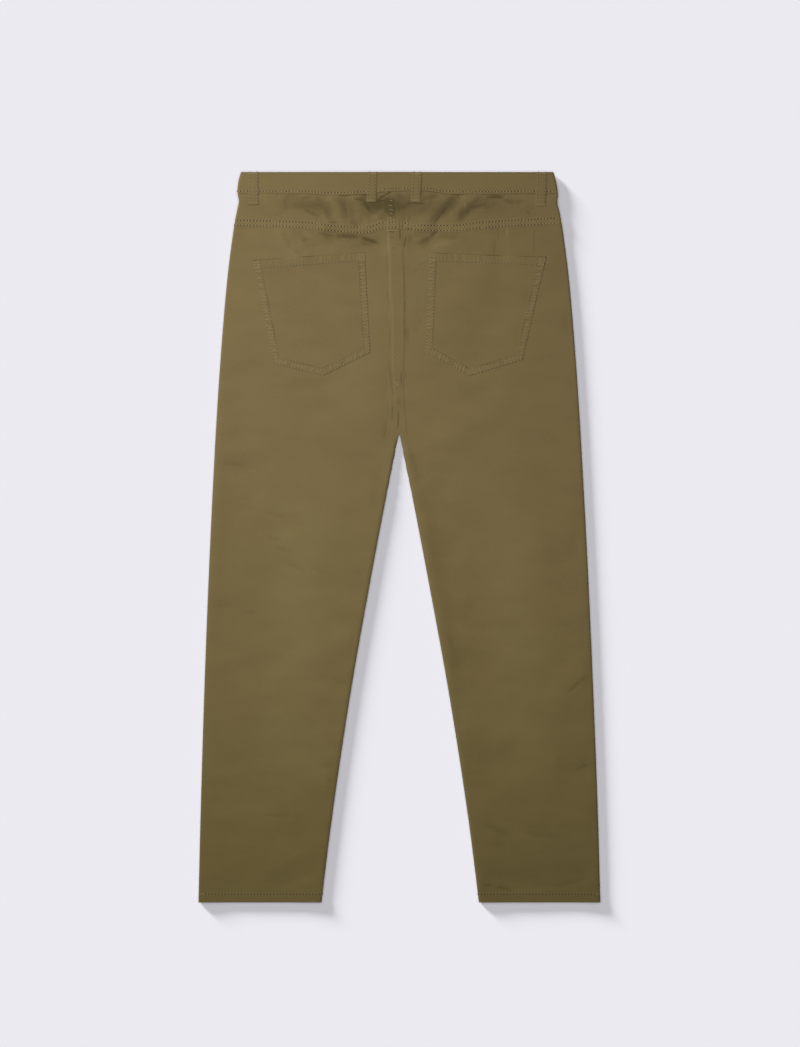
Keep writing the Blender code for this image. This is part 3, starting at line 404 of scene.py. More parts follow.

# Sharper creases and tucks, too fine for the solids, each with its painted shade (-) or painted highlight
# (+) in the tone column
FINE_FOLDS = [
    # yoke, left half
    Fold(-149.9, 48.6, -113.7, 49.3, 9.4, -0.75, -0.25),
    Fold(-120.9, 46.4, -107.9, 51.5, 5.5, -0.66, -0.27),
    Fold(-138.3, 53.6, -118, 63.1, 4.6, -0.5, -0.34),
    Fold(-119.5, 35.5, -106.4, 51.5, 3.2, -0.46, -0.21),
    Fold(-105.7, 51.5, -97.7, 70.3, 7.2, -0.53, -0.18),
    Fold(-139.8, 38.4, -126.7, 35.5, 3.5, -0.3, -0.24),
    Fold(-99.2, 39.9, -94.8, 47.1, 7.2, 0.41, 0.15),
    Fold(-128.2, 39.1, -120.9, 44.2, 4.1, 0.21, 0.11),
    Fold(-112.2, 60.9, -100.6, 76.8, 2.2, 0.31, 0.24),
    Fold(-116.9, 60.2, -118.9, 68.1, 1.4, -0.37, -0.55),
    Fold(-103.5, 71.2, -89, 73.5, 2.6, -0.25, -0.45),
    Fold(-78.2, 39.9, -75.3, 73.2, 8, -0.65, -0.18, -0.4),
    Fold(-68.7, 71.8, -62.9, 76.8, 4.1, -0.29, -0.28),
    Fold(-61.5, 48.6, -58.6, 68.9, 8, 0.63, 0.15),
    Fold(-63.7, 39.1, -51.3, 40.6, 2.9, -0.73, -0.51),
    Fold(-51.3, 42, -41.2, 58.7, 4.9, -0.64, -0.39, 0.3),
    Fold(-47, 48.6, -23.8, 48.6, 7.2, -0.8, -0.25),
    Fold(-35.4, 66.7, -25.2, 58.7, 7.2, 0.84, 0.32),
    Fold(-30.3, 42.8, -24.5, 42, 3.2, -0.91, -1.01),
    Fold(-18.7, 37, -18, 57.3, 4.6, -1, -1),
    Fold(-12.6, 37, -11.2, 64, 6.5, -0.5, -0.65),
    Fold(-8.4, 38, -7.2, 64, 2.4, -0.1, -0.6),
    Fold(-31, 39.9, -22.3, 34.1, 1.9, -0.74, -1.26),
    Fold(-22.3, 34.1, -10.7, 27.6, 1.9, -0.74, -1.26),
    # yoke, right half
    Fold(-4.9, 39.9, -0.6, 57.3, 6.5, -0.49, -0.28),
    Fold(-9.3, 57.3, -4.9, 66, 4.3, -0.37, -0.34),
    Fold(0.9, 52.2, 12.5, 50, 7.2, -0.54, -0.25),
    Fold(-4.9, 31.2, 6.7, 38.4, 5.8, -0.28, -0.18),
    Fold(12.5, 45.4, 16.8, 44.9, 2.9, -0.37, -0.51),
    Fold(16.8, 44.7, 38.6, 46.5, 2.2, -0.51, -0.43),
    Fold(31.3, 57.3, 38.6, 52.9, 4.3, -0.14, -0.08),
    Fold(39.3, 37.7, 54.5, 35.2, 4.6, -0.42, -0.34),
    Fold(45.8, 34.1, 56, 32, 1.6, -0.28, -0.34),
    Fold(82.1, 41.3, 74.1, 48.6, 10.2, -0.59, -0.25),
    Fold(70.5, 50.8, 62.5, 60.2, 6.1, -0.58, -0.23, 0.3),
    Fold(60.3, 61.6, 52.3, 73.2, 3.3, -0.42, -0.34),
    Fold(95.4, 46.4, 96.6, 52.9, 2.3, 0.3, 0.52),
    Fold(104.5, 51.5, 121.2, 48.6, 4.8, -0.77, -0.39),
    Fold(98, 59.4, 103.1, 55.1, 4.3, -0.36, -0.3),
    Fold(121.2, 48.6, 131.4, 50, 5.8, -0.3, -0.28),
    Fold(127.7, 36, 151.7, 35.8, 4.6, -0.95, -0.71),
    Fold(153.1, 41.3, 166.2, 43.6, 4.8, -0.56, -0.37),
    Fold(166.2, 43.5, 182.1, 42.5, 5.2, -0.21, -0.21),
    Fold(111.1, 44.2, 145.9, 42.8, 8.7, -0.17, -0.12),
    Fold(184.7, 57.3, 188.4, 59.9, 3.6, -0.21, -0.29),
    Fold(193.7, 59.4, 198.1, 62.4, 2.9, -0.06, -0.08),
    Fold(89.3, 57.3, 92.2, 70.3, 5.2, -0.17, -0.1),
    Fold(90.8, 60.9, 100.9, 60.2, 3.8, -0.23, -0.2),
    Fold(77.7, 57.3, 82.1, 70.3, 6.5, 0.17, 0.04),
    Fold(14.6, 63.1, 14.9, 72.5, 1.2, -0.25, -0.57),
    Fold(7.5, 60.2, 7, 71.8, 1.3, -0.2, -0.28),
    # seat, left half
    Fold(-119.5, 88.6, -93.4, 92.9, 3.2, -0.49, -0.4),
    Fold(-91.9, 92.4, -55.7, 94.1, 4.8, -1.1, -0.61),
    Fold(-55.7, 94.7, -30.3, 102.7, 4.6, -1.1, -0.8),
    Fold(-54.2, 102.2, -38.3, 105.1, 5.8, -0.37, -0.39),
    Fold(-107.9, 92.8, -100.6, 96.7, 3.2, -0.18, -0.21),
    Fold(-88.3, 87.4, -74.2, 103.7, 1.9, 0.28, 0.2),
    Fold(-168.8, 84.8, -157.2, 109.5, 7.2, -0.4, -0.16),
    Fold(-155.7, 110.9, -141.2, 119.6, 3.8, -0.21, -0.21),
    Fold(-139.8, 98.3, -132.5, 98.6, 3.5, -0.12, -0.28),
    Fold(-134, 106.6, -119.5, 105.1, 4.3, -0.09, -0.11),
    Fold(-138.3, 86.3, -125.3, 95, 4.3, 0.25, 0.17),
    Fold(-62.2, 103, -57.9, 110.9, 2.6, -0.14, -0.13),
    Fold(-148.5, 93.5, -139.8, 106.6, 5.8, 0.25, 0.14),
    Fold(-93.4, 100.8, -65.8, 106.6, 5.8, 0.32, 0.11),
    # seat, right half
    Fold(55.2, 84.8, 46.5, 93.5, 4.6, -0.78, -0.53),
    Fold(45.8, 95.7, 29.9, 102.5, 6.1, -0.43, -0.38),
    Fold(35.7, 100.8, 44.4, 99.9, 2.2, -0.25, -0.42),
    Fold(62.5, 92.7, 85, 93.5, 7.2, -0.62, -0.36),
    Fold(77.7, 89.5, 87.9, 88.3, 2, -0.23, -0.32),
    Fold(18.3, 84.8, 25.5, 97.9, 5.2, 0.34, 0.13),
    Fold(50.2, 106.6, 76.3, 103.7, 5.8, 0.37, 0.14),
    Fold(144.7, 81.9, 144.7, 97.1, 2.6, -0.21, -0.17, -0.4),
    Fold(138.6, 98.6, 138.6, 118.2, 4.3, -0.24, -0.16),
    Fold(157.5, 81.9, 156, 92.8, 3.5, 0.24, 0.23),
    Fold(195.8, 80.5, 196, 121.1, 1.9, -0.15, -0.21),
    Fold(151.7, 83.4, 153.1, 89.2, 2.6, -0.11, -0.18),
    # beside the centre back seam
    Fold(0.9, 68.9, 1.3, 103, 1.4, -0.62, -0.84),
    Fold(9.6, 92.8, 7.2, 111.6, 1.3, -0.5, -0.77),
    Fold(0.9, 78.4, 8.1, 81.1, 1.4, -0.32, -0.37),
    Fold(8.1, 81.1, 18.3, 84, 1.4, -0.5, -0.84),
    Fold(-16.2, 86.3, -6.1, 86.7, 1.3, -0.5, -1.05),
    Fold(-12.2, 95.4, -7.5, 95.4, 1.2, -0.25, -0.49),
    Fold(-10.7, 110.1, -4.9, 110.2, 1.2, -0.31, -0.7),
    Fold(-11.5, 120.5, -4.9, 120.5, 1.2, -0.19, -0.31),
    Fold(-15.2, 84.8, -14.6, 122.5, 2, 0.31, 0.31),
    Fold(4.9, 115.3, 4.9, 129.8, 2, -0.14, -0.11),
    Fold(8.1, 138.5, 8.1, 184.9, 2.2, -0.19, -0.13),
    Fold(8.6, 184.9, 8.7, 206.6, 1.4, -0.25, -0.37),
    Fold(8.7, 206.6, 8.8, 225.5, 2.3, -0.19, -0.18),
    Fold(8.8, 225.5, 8.7, 240, 1.7, -0.3, -0.43),
    Fold(11, 222.6, 12.5, 248.7, 5.8, -0.19, -0.19),
    Fold(21.2, 224, 25.5, 229.8, 4.3, -0.14, -0.12),
    Fold(29.9, 213.9, 31.3, 219.7, 3.6, -0.09, -0.14),
    Fold(27, 180.5, 28.4, 193.6, 3.5, -0.14, -0.16),
    Fold(19.7, 203.7, 28.4, 208.1, 5.1, -0.07, -0.08),
    Fold(29.9, 132.7, 35.7, 131.2, 3.5, -0.11, -0.22),
    Fold(21.9, 145.7, 24.8, 139.9, 1.4, -0.11, -0.22),
    Fold(2.9, 289.3, 2.8, 306.7, 1.3, -0.34, -0.67),
    Fold(9.6, 289.3, 9.6, 298, 1.7, -0.17, -0.37),
    Fold(-8.7, 289.3, -8.1, 298, 1.4, -0.17, -0.31),
    Fold(-8.8, 312.5, -8.4, 324.1, 1.2, -0.25, -0.49),
    Fold(-2.9, 312.5, -2.3, 324.1, 1, -0.2, -0.25),
    Fold(-1.2, 312.5, -1.2, 322.6, 1.3, 0.15, 0.14),
    Fold(-8.7, 335.7, -11.3, 366.1, 1.9, -0.3, -0.41),
    Fold(-7, 335.7, -8.1, 364.7, 1.6, 0.19, 0.18),
    Fold(-1.2, 344.4, -2, 376.3, 1.7, -0.29, -0.71),
    Fold(-18.7, 358.9, -20.9, 387.9, 4.3, -0.3, -0.2),
    Fold(-2, 328.4, 0.9, 337.1, 2.9, -0.21, -0.26),
    Fold(9.9, 358.9, 9.6, 382.1, 2, -0.09, -0.13),
    Fold(-15.1, 274.8, -18, 286.4, 3.5, -0.12, -0.2),
    # under the waistband
    Fold(-170.2, 33.8, -144.1, 34.7, 1.4, -0.2, -0.3),
    Fold(-176.8, 25.4, -177, 34.1, 1.3, -0.3, -0.4),
    Fold(84.1, 31.2, 86.4, 38.4, 1.7, -0.34, -0.56),
    # seat, round the pockets
    Fold(42.9, 121.1, 32.8, 129.8, 5.8, 0.2, 0.12),
    Fold(-158.6, 300.9, -100.6, 305.2, 10.2, -0.23, -0.1),
    Fold(-180.4, 289.3, -161.5, 300.9, 7.2, -0.14, -0.05),
    Fold(58.9, 221.1, 80.6, 216.8, 8.7, -0.23, -0.17),
    # legs
    Fold(140, 963, 156, 961, 4, -0.37, -0.17),
    Fold(-24, 440, -21, 476, 4, -0.43, -0.14),
    Fold(161, 975, 158, 990, 3, 0.17, 0.04),
    Fold(-118, 1012, -176, 1036, 7, -0.35, -0.08),
    Fold(120, 1040, 250, 1032, 6, -0.34, -0.07),
    Fold(-256, 421, -221, 427, 4, -0.35, -0.22),
    Fold(-198, 492, -159, 501, 4, -0.35, -0.22),
    Fold(-192, 528, -172, 534, 3.5, -0.35, -0.22),
    Fold(-181, 541, -154, 552, 3.5, -0.35, -0.22),
    Fold(-163, 566, -135, 580, 4, -0.35, -0.19),
    Fold(-130, 572, -101, 583, 3, -0.28, -0.19),
    Fold(-232, 640, -206, 636, 4, -0.28, -0.16),
    Fold(-96, 735, -76, 741, 3.5, -0.28, -0.19),
    Fold(-115, 859, -96, 859, 4, -0.42, -0.29),
    Fold(-110, 878, -96, 882, 3, -0.35, -0.26),
    Fold(-200, 931, -125, 935, 4, -0.28, -0.16),
    Fold(-190, 903, -150, 907, 4, 0.21, 0.13),
    Fold(14, 398, 24, 432, 4, -0.28, -0.24),
    Fold(69, 668, 76, 690, 5, -0.14, -0.19),
    Fold(243, 755, 262, 737, 4, -0.49, -0.45),
    Fold(262, 737, 279, 728, 4, -0.49, -0.45),
    Fold(257, 865, 279, 857, 3, -0.42, -0.35),
    Fold(121, 944, 160, 960, 5, -0.35, -0.26),
    Fold(180, 958, 237, 963, 5, -0.28, -0.19),
    Fold(117, 1030, 140, 1036, 3, -0.42, -0.45),
    Fold(140, 1036, 165, 1041, 3, -0.42, -0.45),
    Fold(218, 1036, 276, 1022, 5, -0.28, -0.22),
]

# Broad soft painted shade (-) and painted light (+), with no height of their own
SHADES = [
    Fold(-225, 50, 225, 50, 26, 0.0, -0.25),
    Fold(-150, 98, 60, 98, 26, 0.0, -0.10),
    Fold(-62, 45, 70, 48, 34, 0.0, -0.25),
    Fold(-30, 52, 10, 56, 22, 0.0, -0.10),
    Fold(60, 58, 140, 56, 22, 0.0, -0.06),
    Fold(-60, 150, -70, 330, 60, 0.0, 0.15),
    Fold(-165, 160, -120, 250, 70, 0.0, 0.12),
    Fold(-130, 430, -170, 900, 75, 0.0, 0.21),
    Fold(150, 430, 190, 900, 70, 0.0, 0.24),
    Fold(24, 440, 82, 780, 30, 0.0, -0.20),
    Fold(-258, 420, -280, 700, 30, 0.0, -0.12),
]


@dataclass(frozen=True)
class Mottle:
    """Gentle unevenness of one size, from -1 to 1 and the same each time."""

    size: float
    seed: int
    waves: int = 9

    def __call__(self, x: Numbers, down: Numbers) -> Numbers:
        """The unevenness at each place."""
        draw = np.random.default_rng(self.seed)
        total = np.zeros_like(x + down)
        for _ in range(self.waves):
            heading = draw.uniform(0.0, 2.0 * math.pi)
            start = draw.uniform(0.0, 2.0 * math.pi)
            size = self.size * draw.uniform(0.7, 1.5)
            along = x * math.cos(heading) + down * math.sin(heading)
            total += np.sin(2.0 * math.pi * along / size + start)
        return total / math.sqrt(self.waves)


SWELLS = Mottle(95 * MM, 11)
DENTS = Mottle(34 * MM, 12)
CRUMPLE = Mottle(13 * MM, 13)


@dataclass(frozen=True)
class Strip:
    """What a sewn strip does to the cloth: puckers across it and a groove along each row of thread, with
    painted shade and highlight on both.

    All in millimetres. rows are the distances of the rows from the seam's line, centre and reach say where
    the puckers lie, and slant turns them.
    """

    rows: tuple[float, ...]
    centre: float
    reach: float
    pitch: float
    pucker: float
    slant: float
    seed: int
    groove: float = 0.25
    groove_half: float = 1.2
    # Painted shade in each row's groove
    groove_tone: float = 0.18
    # Painted shade in the puckers' hollows and painted highlight on their crests
    shade: float = 0.16
    # Painted highlight over the raised strip
    paler: float = 0.0

    def shape(self, offset: Numbers, along: Numbers) -> Pair:
        """Relief and tone of the strip.

        Args:
            offset: Distance from the seam's line.
            along: Distance along it.

        Returns:
            The height and the tone at each place.
        """
        still = np.zeros_like(along)
        waver = Mottle(31 * MM, self.seed)(along, still)
        turn = 2.0 * math.pi * (along + self.slant * offset) / (self.pitch * MM) + 3.0 * waver
        swell = np.clip(0.5 + 0.5 * Mottle(22 * MM, self.seed + 1)(along, still), 0.05, 1.3)
        fade = hump(offset - self.centre * MM, self.reach * MM)
        ripple = np.sin(turn) * swell * fade
        height = self.pucker * MM * ripple
        tone = self.shade * ripple + self.paler * fade
        for row in self.rows:
            groove = hump(offset - row * MM, self.groove_half * MM)
            height = height - self.groove * MM * groove
            tone = tone - self.groove_tone * groove
        return height, tone


YOKE_STRIP = Strip(rows=YOKE_ROWS, centre=6.0, reach=8.0, pitch=4.6, pucker=0.17, slant=0.15, seed=21,
                   shade=0.2, groove_tone=0.16, paler=0.12)
YOKE_ABOVE = Strip(rows=(), centre=-2.0, reach=6.0, pitch=5.8, pucker=0.10, slant=-0.1, seed=23, shade=0.08)
SEAT_STRIP = Strip(rows=(), centre=2.5, reach=6.0, pitch=5.4, pucker=0.22, slant=1.0, seed=25)
HEM_STRIP = Strip(rows=(HEM_ROW,), centre=6.0, reach=9.0, pitch=7.5, pucker=0.12, slant=0.9, seed=27,
                  shade=0.08)
BAND_STRIP = Strip(rows=(BAND_ROW,), centre=4.5, reach=5.5, pitch=5.0, pucker=0.15, slant=0.1, seed=29,
                   shade=0.20)
WAIST_BELOW = Strip(rows=(), centre=1.0, reach=5.0, pitch=6.5, pucker=0.10, slant=0.3, seed=31, shade=0.06)
POCKET_STRIP = Strip(rows=POCKET_ROWS, centre=5.2, reach=6.6, pitch=8.6, pucker=0.28, slant=0.3, seed=33,
                     groove_tone=0.12, shade=0.26, paler=0.05)
MOUTH_STRIP = Strip(rows=(12.0,), centre=6.0, reach=8.0, pitch=8.0, pucker=0.12, slant=0.2, seed=35)
LOOP_STRIP = Strip(rows=(2.6,), centre=3.0, reach=3.0, pitch=4.0, pucker=0.05, slant=0.0, seed=37)


@dataclass(frozen=True)
class Half:
    """The left or the right half of the trousers, with the edges that its pieces run between."""

    name: str
    sign: int

    def side(self, down: Numbers) -> Numbers:
        """The outline's side edge."""
        return side_left(down) if self.sign < 0 else side_right(down)

    def side_fold(self, down: Numbers) -> Numbers:
        """Where the top starts to turn under at the side."""
        return self.side(down) - self.sign * fold_radius(self, down)

    def inner(self, down: Numbers) -> Numbers:
        """The centre back seam's edge, or the outline's inner edge below the crotch."""
        seam = seat_seam(down) + self.sign * SEAM_MEET / 2
        leg = inseam_left(down) if self.sign < 0 else inseam_right(down)
        return np.where(down <= CROTCH_DOWN, seam, leg)

    def inner_fold(self, down: Numbers) -> Numbers:
        """Where the top starts to turn under at the leg's inner edge."""
        roll = inseam_roll(down)
        turn = np.minimum(turned_under(down) / roll, math.pi / 2)
        return self.inner(down) + self.sign * roll * np.sin(turn)

    def across(self, down: Numbers) -> Numbers:
        """Width of the top between its two folds."""
        return np.abs(self.side_fold(down) - self.inner_fold(down))


LEFT = Half("left", -1)
RIGHT = Half("right", 1)


def lift(down: Numbers) -> Numbers:
    """How far the loops and the button under the waistband hold the waist off the surface."""
    return LIFT * (1.0 - ease((down - LIFT_FLAT) / LIFT_FALL))


def turned_under(down: Numbers) -> Numbers:
    """Length of back panel past the inner fold: none at the crotch, a fold and a tab down the leg."""
    full = math.pi * EDGE_ROLL + SIDE_TAB
    return full * np.clip((down - CROTCH_DOWN) / UNWIND, 0.0, 1.0)


def lap_rise(x: Numbers, down: Numbers) -> Numbers:
    """Extra height of the felled yoke seam on the panel's side of it, and of the turned hem."""
    below = down - yoke_seam(x)
    lap = LAP_RISE * (1.0 - ease((below - LAP_WIDTH) / STEP))
    hem = HEM_RISE * ease((down - (LENGTH - HEM_DEPTH - STEP / 2)) / STEP)
    return np.where(below > -SEAM_GAP / 2, lap, 0.0) + hem


def fold_radius(half: Half, down: Numbers) -> Numbers:
    """Radius of the side fold, which takes in the extra cloth of a hem or a lapped seam."""
    return side_roll(down) + lap_rise(half.side(down), down) / 2


def box_cover(x: Numbers, down: Numbers, inner: float, outer: float, bottom: float,
              height: float) -> Numbers:
    """Height that a top must keep over a flat layer, easing off round its edges."""
    aside = np.maximum(np.maximum(inner - x, x - outer), 0.0)
    below = np.maximum(down - bottom, 0.0)
    return blend(height, LEAST_TOP, ease(np.hypot(aside, below) / COVER_FALL))


def cover(x: Numbers, down: Numbers) -> Numbers:
    """Least height of the back's outer face over the layers under it."""
    fly = box_cover(x, down, SHIELD_INNER, SHIELD_OUTER, SHIELD_BOTTOM, FLY_COVER)
    inner = FACING_OUTER - SCOOP_WIDTH - 2 * SCOOP_MARGIN
    bottom = FRONT_WAIST_SEAM + SCOOP_DEPTH
    facing = box_cover(np.abs(x), down, inner, FACING_OUTER, bottom, FACING_COVER)
    return np.maximum(fly, facing)


def unevenness(x: Numbers, down: Numbers) -> Numbers:
    """Soft swells, dents and crumples of washed cloth, stronger in the yoke and faint on the legs."""
    seat = 1.0 - ease((down - 60 * MM) / (120 * MM))
    dents = (0.055 + 0.09 * seat) * DENTS(x, down)
    crumple = (0.012 + 0.03 * seat) * CRUMPLE(x, down)
    return (0.30 * SWELLS(x, down) + dents + crumple) * MM


def sewn_relief(x: Numbers, down: Numbers) -> Pair:
    """Relief and tone of the back's seams and hem.

    Args:
        x: Places across.
        down: Places down.

    Returns:
        The height and the tone at each place.
    """
    below = down - yoke_seam(x)
    height, tone = YOKE_STRIP.shape(below, x)
    on_panel = below > -SEAM_GAP / 2
    height, tone = np.where(on_panel, height, 0.0), np.where(on_panel, tone, 0.0)
    for strip, offset in ((YOKE_ABOVE, below), (WAIST_BELOW, down - waist_seam(x))):
        more, shade = strip.shape(offset, x)
        height, tone = height + np.where(on_panel, 0.0, more), tone + np.where(on_panel, 0.0, shade)
    more, shade = HEM_STRIP.shape(LENGTH - down, x)
    height, tone = height + more, tone + shade
    return height, tone


def seat_relief(x: Numbers, down: Numbers) -> Pair:
    """Relief and tone of the centre back seam over its pressed-open allowance.

    Args:
        x: Places across.
        down: Places down.

    Returns:
        The height and the tone at each place.
    """
    on_seat = ease((down - 84 * MM) / (60 * MM)) * (1.0 - ease((down - 300 * MM) / (70 * MM)))
    left, right = allowance_left(down), allowance_right(down)
    strip = ease((x - left + 2.5 * MM) / (5.0 * MM)) * ease((right + 4.0 * MM - x) / (8.0 * MM))
    fading = 0.65 + 0.35 * Mottle(52 * MM, 71)(down, 0.0 * down)
    height = 0.4 * MM * strip * on_seat
    # Painted shade in the groove along the allowance's left edge
    tone = -0.34 * hump(x - left + 0.4 * MM, 2.6 * MM) * on_seat * fading
    # Painted highlight on the raised edge beside it
    crest = hump(x - left - 5.0 * MM, 3.0 * MM) * on_seat
    height = height + 0.15 * MM * crest
    tone = tone + 0.26 * crest
    more, shade = SEAT_STRIP.shape(x - seat_seam(down), down)
    return height + more * on_seat, tone + shade * on_seat


@dataclass(frozen=True)
class Spots:
    """Where the points of a sheet lie, how far round the cloth each is, and its tone, which carries painted
    shade and highlight.
    """

    x: Numbers
    down: Numbers
    z: Numbers
    around: Numbers
    tone: Numbers


def back_top(half: Half, x: Numbers, down: Numbers) -> Pair:
    """Height and tone of the back's outer face between its edges.

    Args:
        half: The half that the point is on.
        x: Places across.
        down: Places down.

    Returns:
        The height above the surface and the tone at each place.
    """
    level = cloth_level(down)
    from_side = np.abs(half.side_fold(down) - x)
    crotch_x = half.inner(np.full(1, CROTCH_DOWN))[0]
    in_leg = np.abs(x - half.inner_fold(down))
    from_inner = np.where(down > CROTCH_DOWN, in_leg, np.hypot(x - crotch_x, CROTCH_DOWN - down))
    height = level + (2.0 * side_roll(down) - level) * (1.0 - ease(from_side / EDGE_FALL))
    height = height + (2.0 * inseam_roll(down) - level) * (1.0 - ease(from_inner / EDGE_FALL))
    calm = ease(from_side / EDGE_CALM) * ease(from_inner / EDGE_CALM)
    folds = main_folds(x, down)
    folded = height + calm * (folds + unevenness(x, down))
    height = soft_maximum(folded, cover(x, down), COVER_SOFTNESS * calm)
    fine, fine_tone = crease_marks(FINE_FOLDS, x, down)
    sewn, tone = sewn_relief(x, down)
    seat, seat_tone = seat_relief(x, down)
    from_seam = np.abs(x - half.inner(down))
    open_seam = 1.0 - turned_under(down) / turned_under(LENGTH)
    ridge = RIDGE_RISE * open_seam * (1.0 - ease((from_seam - 9 * MM) / (3 * MM)))
    height = height + calm * (fine + sewn + seat) + lap_rise(x, down) + ridge
    dive = YOKE_DIVE * (1.0 - ease((down - waist_seam(x)) / (2.6 * MM)))
    broad = sum(shade.marks(x, down)[1] for shade in SHADES)
    # The tone is painted shade and highlight: of the creases, the seams and the folds, and broad painted
    # shade and light
    tone = tone + seat_tone + fine_tone + broad + FOLD_SHADING * np.clip(folds / MM, -3.0, 2.0)
    return lift(down) + height - dive, tone * calm


def roll_under(x: Numbers, toward: int, radius: Numbers, past: Numbers,
               down: Numbers) -> Pair:
    """Follow the cloth round a fold, and back along the underside as a tab.

    Args:
        x: Where the fold starts.
        toward: The side that the fold bulges to.
        radius: The fold's radius.
        past: Length of cloth past the fold's start.
        down: Places down.

    Returns:
        The place across and the height.
    """
    angle = np.clip(past / radius, 0.0, math.pi)
    tab = np.maximum(past - math.pi * radius, 0.0)
    return x + toward * (radius * np.sin(angle) - tab), lift(down) + radius * (1.0 + np.cos(angle))


def laid_across(half: Half, down: Numbers, distance: Numbers) -> Numbers:
    """Where the back's outer face lies across, if it is flat, at a distance from its inner seam edge."""
    before = turned_under(down) - distance
    far = half.side(down)
    x = half.inner_fold(down) - half.sign * before
    return np.where(half.sign * (x - far) > 0.0, far, x)


def laid(half: Half, down: Numbers, distance: Numbers) -> Spots:
    """Place the back's outer face at a distance round the leg from its inner seam edge.

    Args:
        half: The half that the cloth belongs to.
        down: Places down.
        distance: Length of cloth from the inner seam edge.

    Returns:
        The places on the back.
    """
    before = turned_under(down) - distance
    after = -before - half.across(down)
    x = half.inner_fold(down) - half.sign * before
    z, tone = back_top(half, x, down)
    in_x, in_z = roll_under(half.inner_fold(down), -half.sign, inseam_roll(down), before, down)
    out_x, out_z = roll_under(half.side_fold(down), half.sign, fold_radius(half, down), after, down)
    x = np.where(before > 0.0, in_x, np.where(after > 0.0, out_x, x))
    z = np.where(before > 0.0, in_z, np.where(after > 0.0, out_z, z))
    return Spots(x, down, z, distance, np.where((before > 0.0) | (after > 0.0), 0.0, tone))


Place = Callable[[Numbers, Numbers], Spots]
Region = Callable[[Numbers, Numbers], Numbers]


class Facing(Enum):
    """The side on which a sheet's outer face lies."""

    UP = 1
    DOWN = -1


def at(x: float, down: float, z: float) -> Vector:
    """A point in the shared frame."""
    return Vector((x, LENGTH / 2 - down, z))


def cut_sheet(columns: int, rows: int, place: Place, facing: Facing,
              finer: Sequence[Region] = ()) -> BMesh:
    """Make a sheet from a grid whose points are put in place, and split finer where it needs it.

    Args:
        columns: Steps across the grid.
        rows: Steps down the grid.
        place: Gives the places of grid positions.
        facing: The side of the outer face.
        finer: Regions of the plan that are split once more, one after the other.

    Returns:
        The sheet, with its cloth coordinates in metres and its tone.
    """
    sheet = bmesh.new()
    bmesh.ops.create_grid(sheet, x_segments=columns, y_segments=rows, size=0.5)
    for vert in sheet.verts:
        vert.co = ((vert.co.x + 0.5) * columns, (0.5 - vert.co.y) * rows, 0.0)
    centre = Vector((columns / 2, rows / 2, 0.0))
    for region in finer:
        middles = np.array([(edge.verts[0].co + edge.verts[1].co)[:2] for edge in sheet.edges]) / 2.0
        spots = place(middles[:, 0], middles[:, 1])
        wanted = region(spots.x, spots.down)
        edges = [edge for edge, want in zip(sheet.edges, wanted) if want]
        bmesh.ops.subdivide_edges(sheet, edges=edges, cuts=1, use_grid_fill=True)
    middle = min(sheet.faces, key=lambda face: (face.calc_center_median() - centre).length_squared)
    grid = np.array([vert.co[:2] for vert in sheet.verts])
    spots = place(grid[:, 0], grid[:, 1])
    tone_layer = sheet.verts.layers.float.new("tone")
    cloth_layer = sheet.loops.layers.uv.new("cloth")
    cloth = list(zip(spots.around.tolist(), spots.down.tolist()))
    for i, (vert, x, down, z, tone) in enumerate(zip(sheet.verts, spots.x, spots.down, spots.z, spots.tone)):
        vert.index = i
        vert.co = at(x, down, z)
        vert[tone_layer] = tone
    for face in sheet.faces:
        face.smooth = True
        for loop in face.loops:
            loop[cloth_layer].uv = cloth[loop.vert.index]
    for edge in sheet.edges:
        edge.smooth = not edge.is_boundary
    sheet.normal_update()
    if middle.normal.z * facing.value < 0.0:
        bmesh.ops.reverse_faces(sheet, faces=sheet.faces)
        sheet.normal_update()
    return sheet


def linear(colour: str) -> tuple[float, float, float, float]:
    """Turn an sRGB hex colour to linear light."""
    parts = [int(colour[i:i + 2], 16) / 255.0 for i in (1, 3, 5)]
    light = [part / 12.92 if part <= 0.04045 else ((part + 0.055) / 1.055) ** 2.4 for part in parts]
    return (*light, 1.0)


def add_node(tree: NodeTree, kind: str, settings: dict[str | int, object],
             links: dict[str | int, Node | NodeSocket]) -> Node:
    """Add a shader node.

    Args:
        tree: The node tree.
        kind: The node's type, without its prefix.
        settings: Values of input sockets, by name or number, and of attributes, by name.
        links: What feeds input sockets, by name or number: an output, or a node for its first output.

    Returns:
        The node.
    """
    node = tree.nodes.new("ShaderNode" + kind)
    for key, value in settings.items():
        if isinstance(key, int) or key in node.inputs:
            node.inputs[key].default_value = value
        else:
            setattr(node, key, value)
    for key, source in links.items():
        output = source.outputs[0] if isinstance(source, Node) else source
        tree.links.new(output, node.inputs[key])
    return node


def scale_add(tree: NodeTree, source: Node | NodeSocket, gain: float, offset: float,
              clamp: bool = False) -> Node:
    """Multiply a value, add to the product and maybe keep the sum from 0 to 1."""
    return add_node(tree, "Math", {"operation": "MULTIPLY_ADD", "use_clamp": clamp, 1: gain, 2: offset},
                    {0: source})


def add_ramp(tree: NodeTree, source: Node, stops: Sequence[tuple[float, str]]) -> Node:
    """Turn a value into a colour.

    Args:
        tree: The node tree.
        source: Gives the value from 0 to 1.
        stops: The places and colours of the ramp, the first and the last one first.

    Returns:
        The ramp.
    """
    ramp = add_node(tree, "ValToRGB", {}, {"Fac": source})
    elements = ramp.color_ramp.elements
    for i, (place, colour) in enumerate(stops):
        element = elements[i] if i < 2 else elements.new(place)
        element.position = place
        element.color = linear(colour)
    return ramp


def new_material(name: str, settings: dict[str, object]) -> tuple[Material, NodeTree, Node]:
    """Start a material.

    Args:
        name: Its name.
        settings: Values of its shader's inputs.

    Returns:
        The material, its node tree and its shader.
    """
    material = bpy.data.materials.new(name)
    material.use_nodes = True
    shader = material.node_tree.nodes["Principled BSDF"]
    for key, value in settings.items():
        shader.inputs[key].default_value = value
    return material, material.node_tree, shader


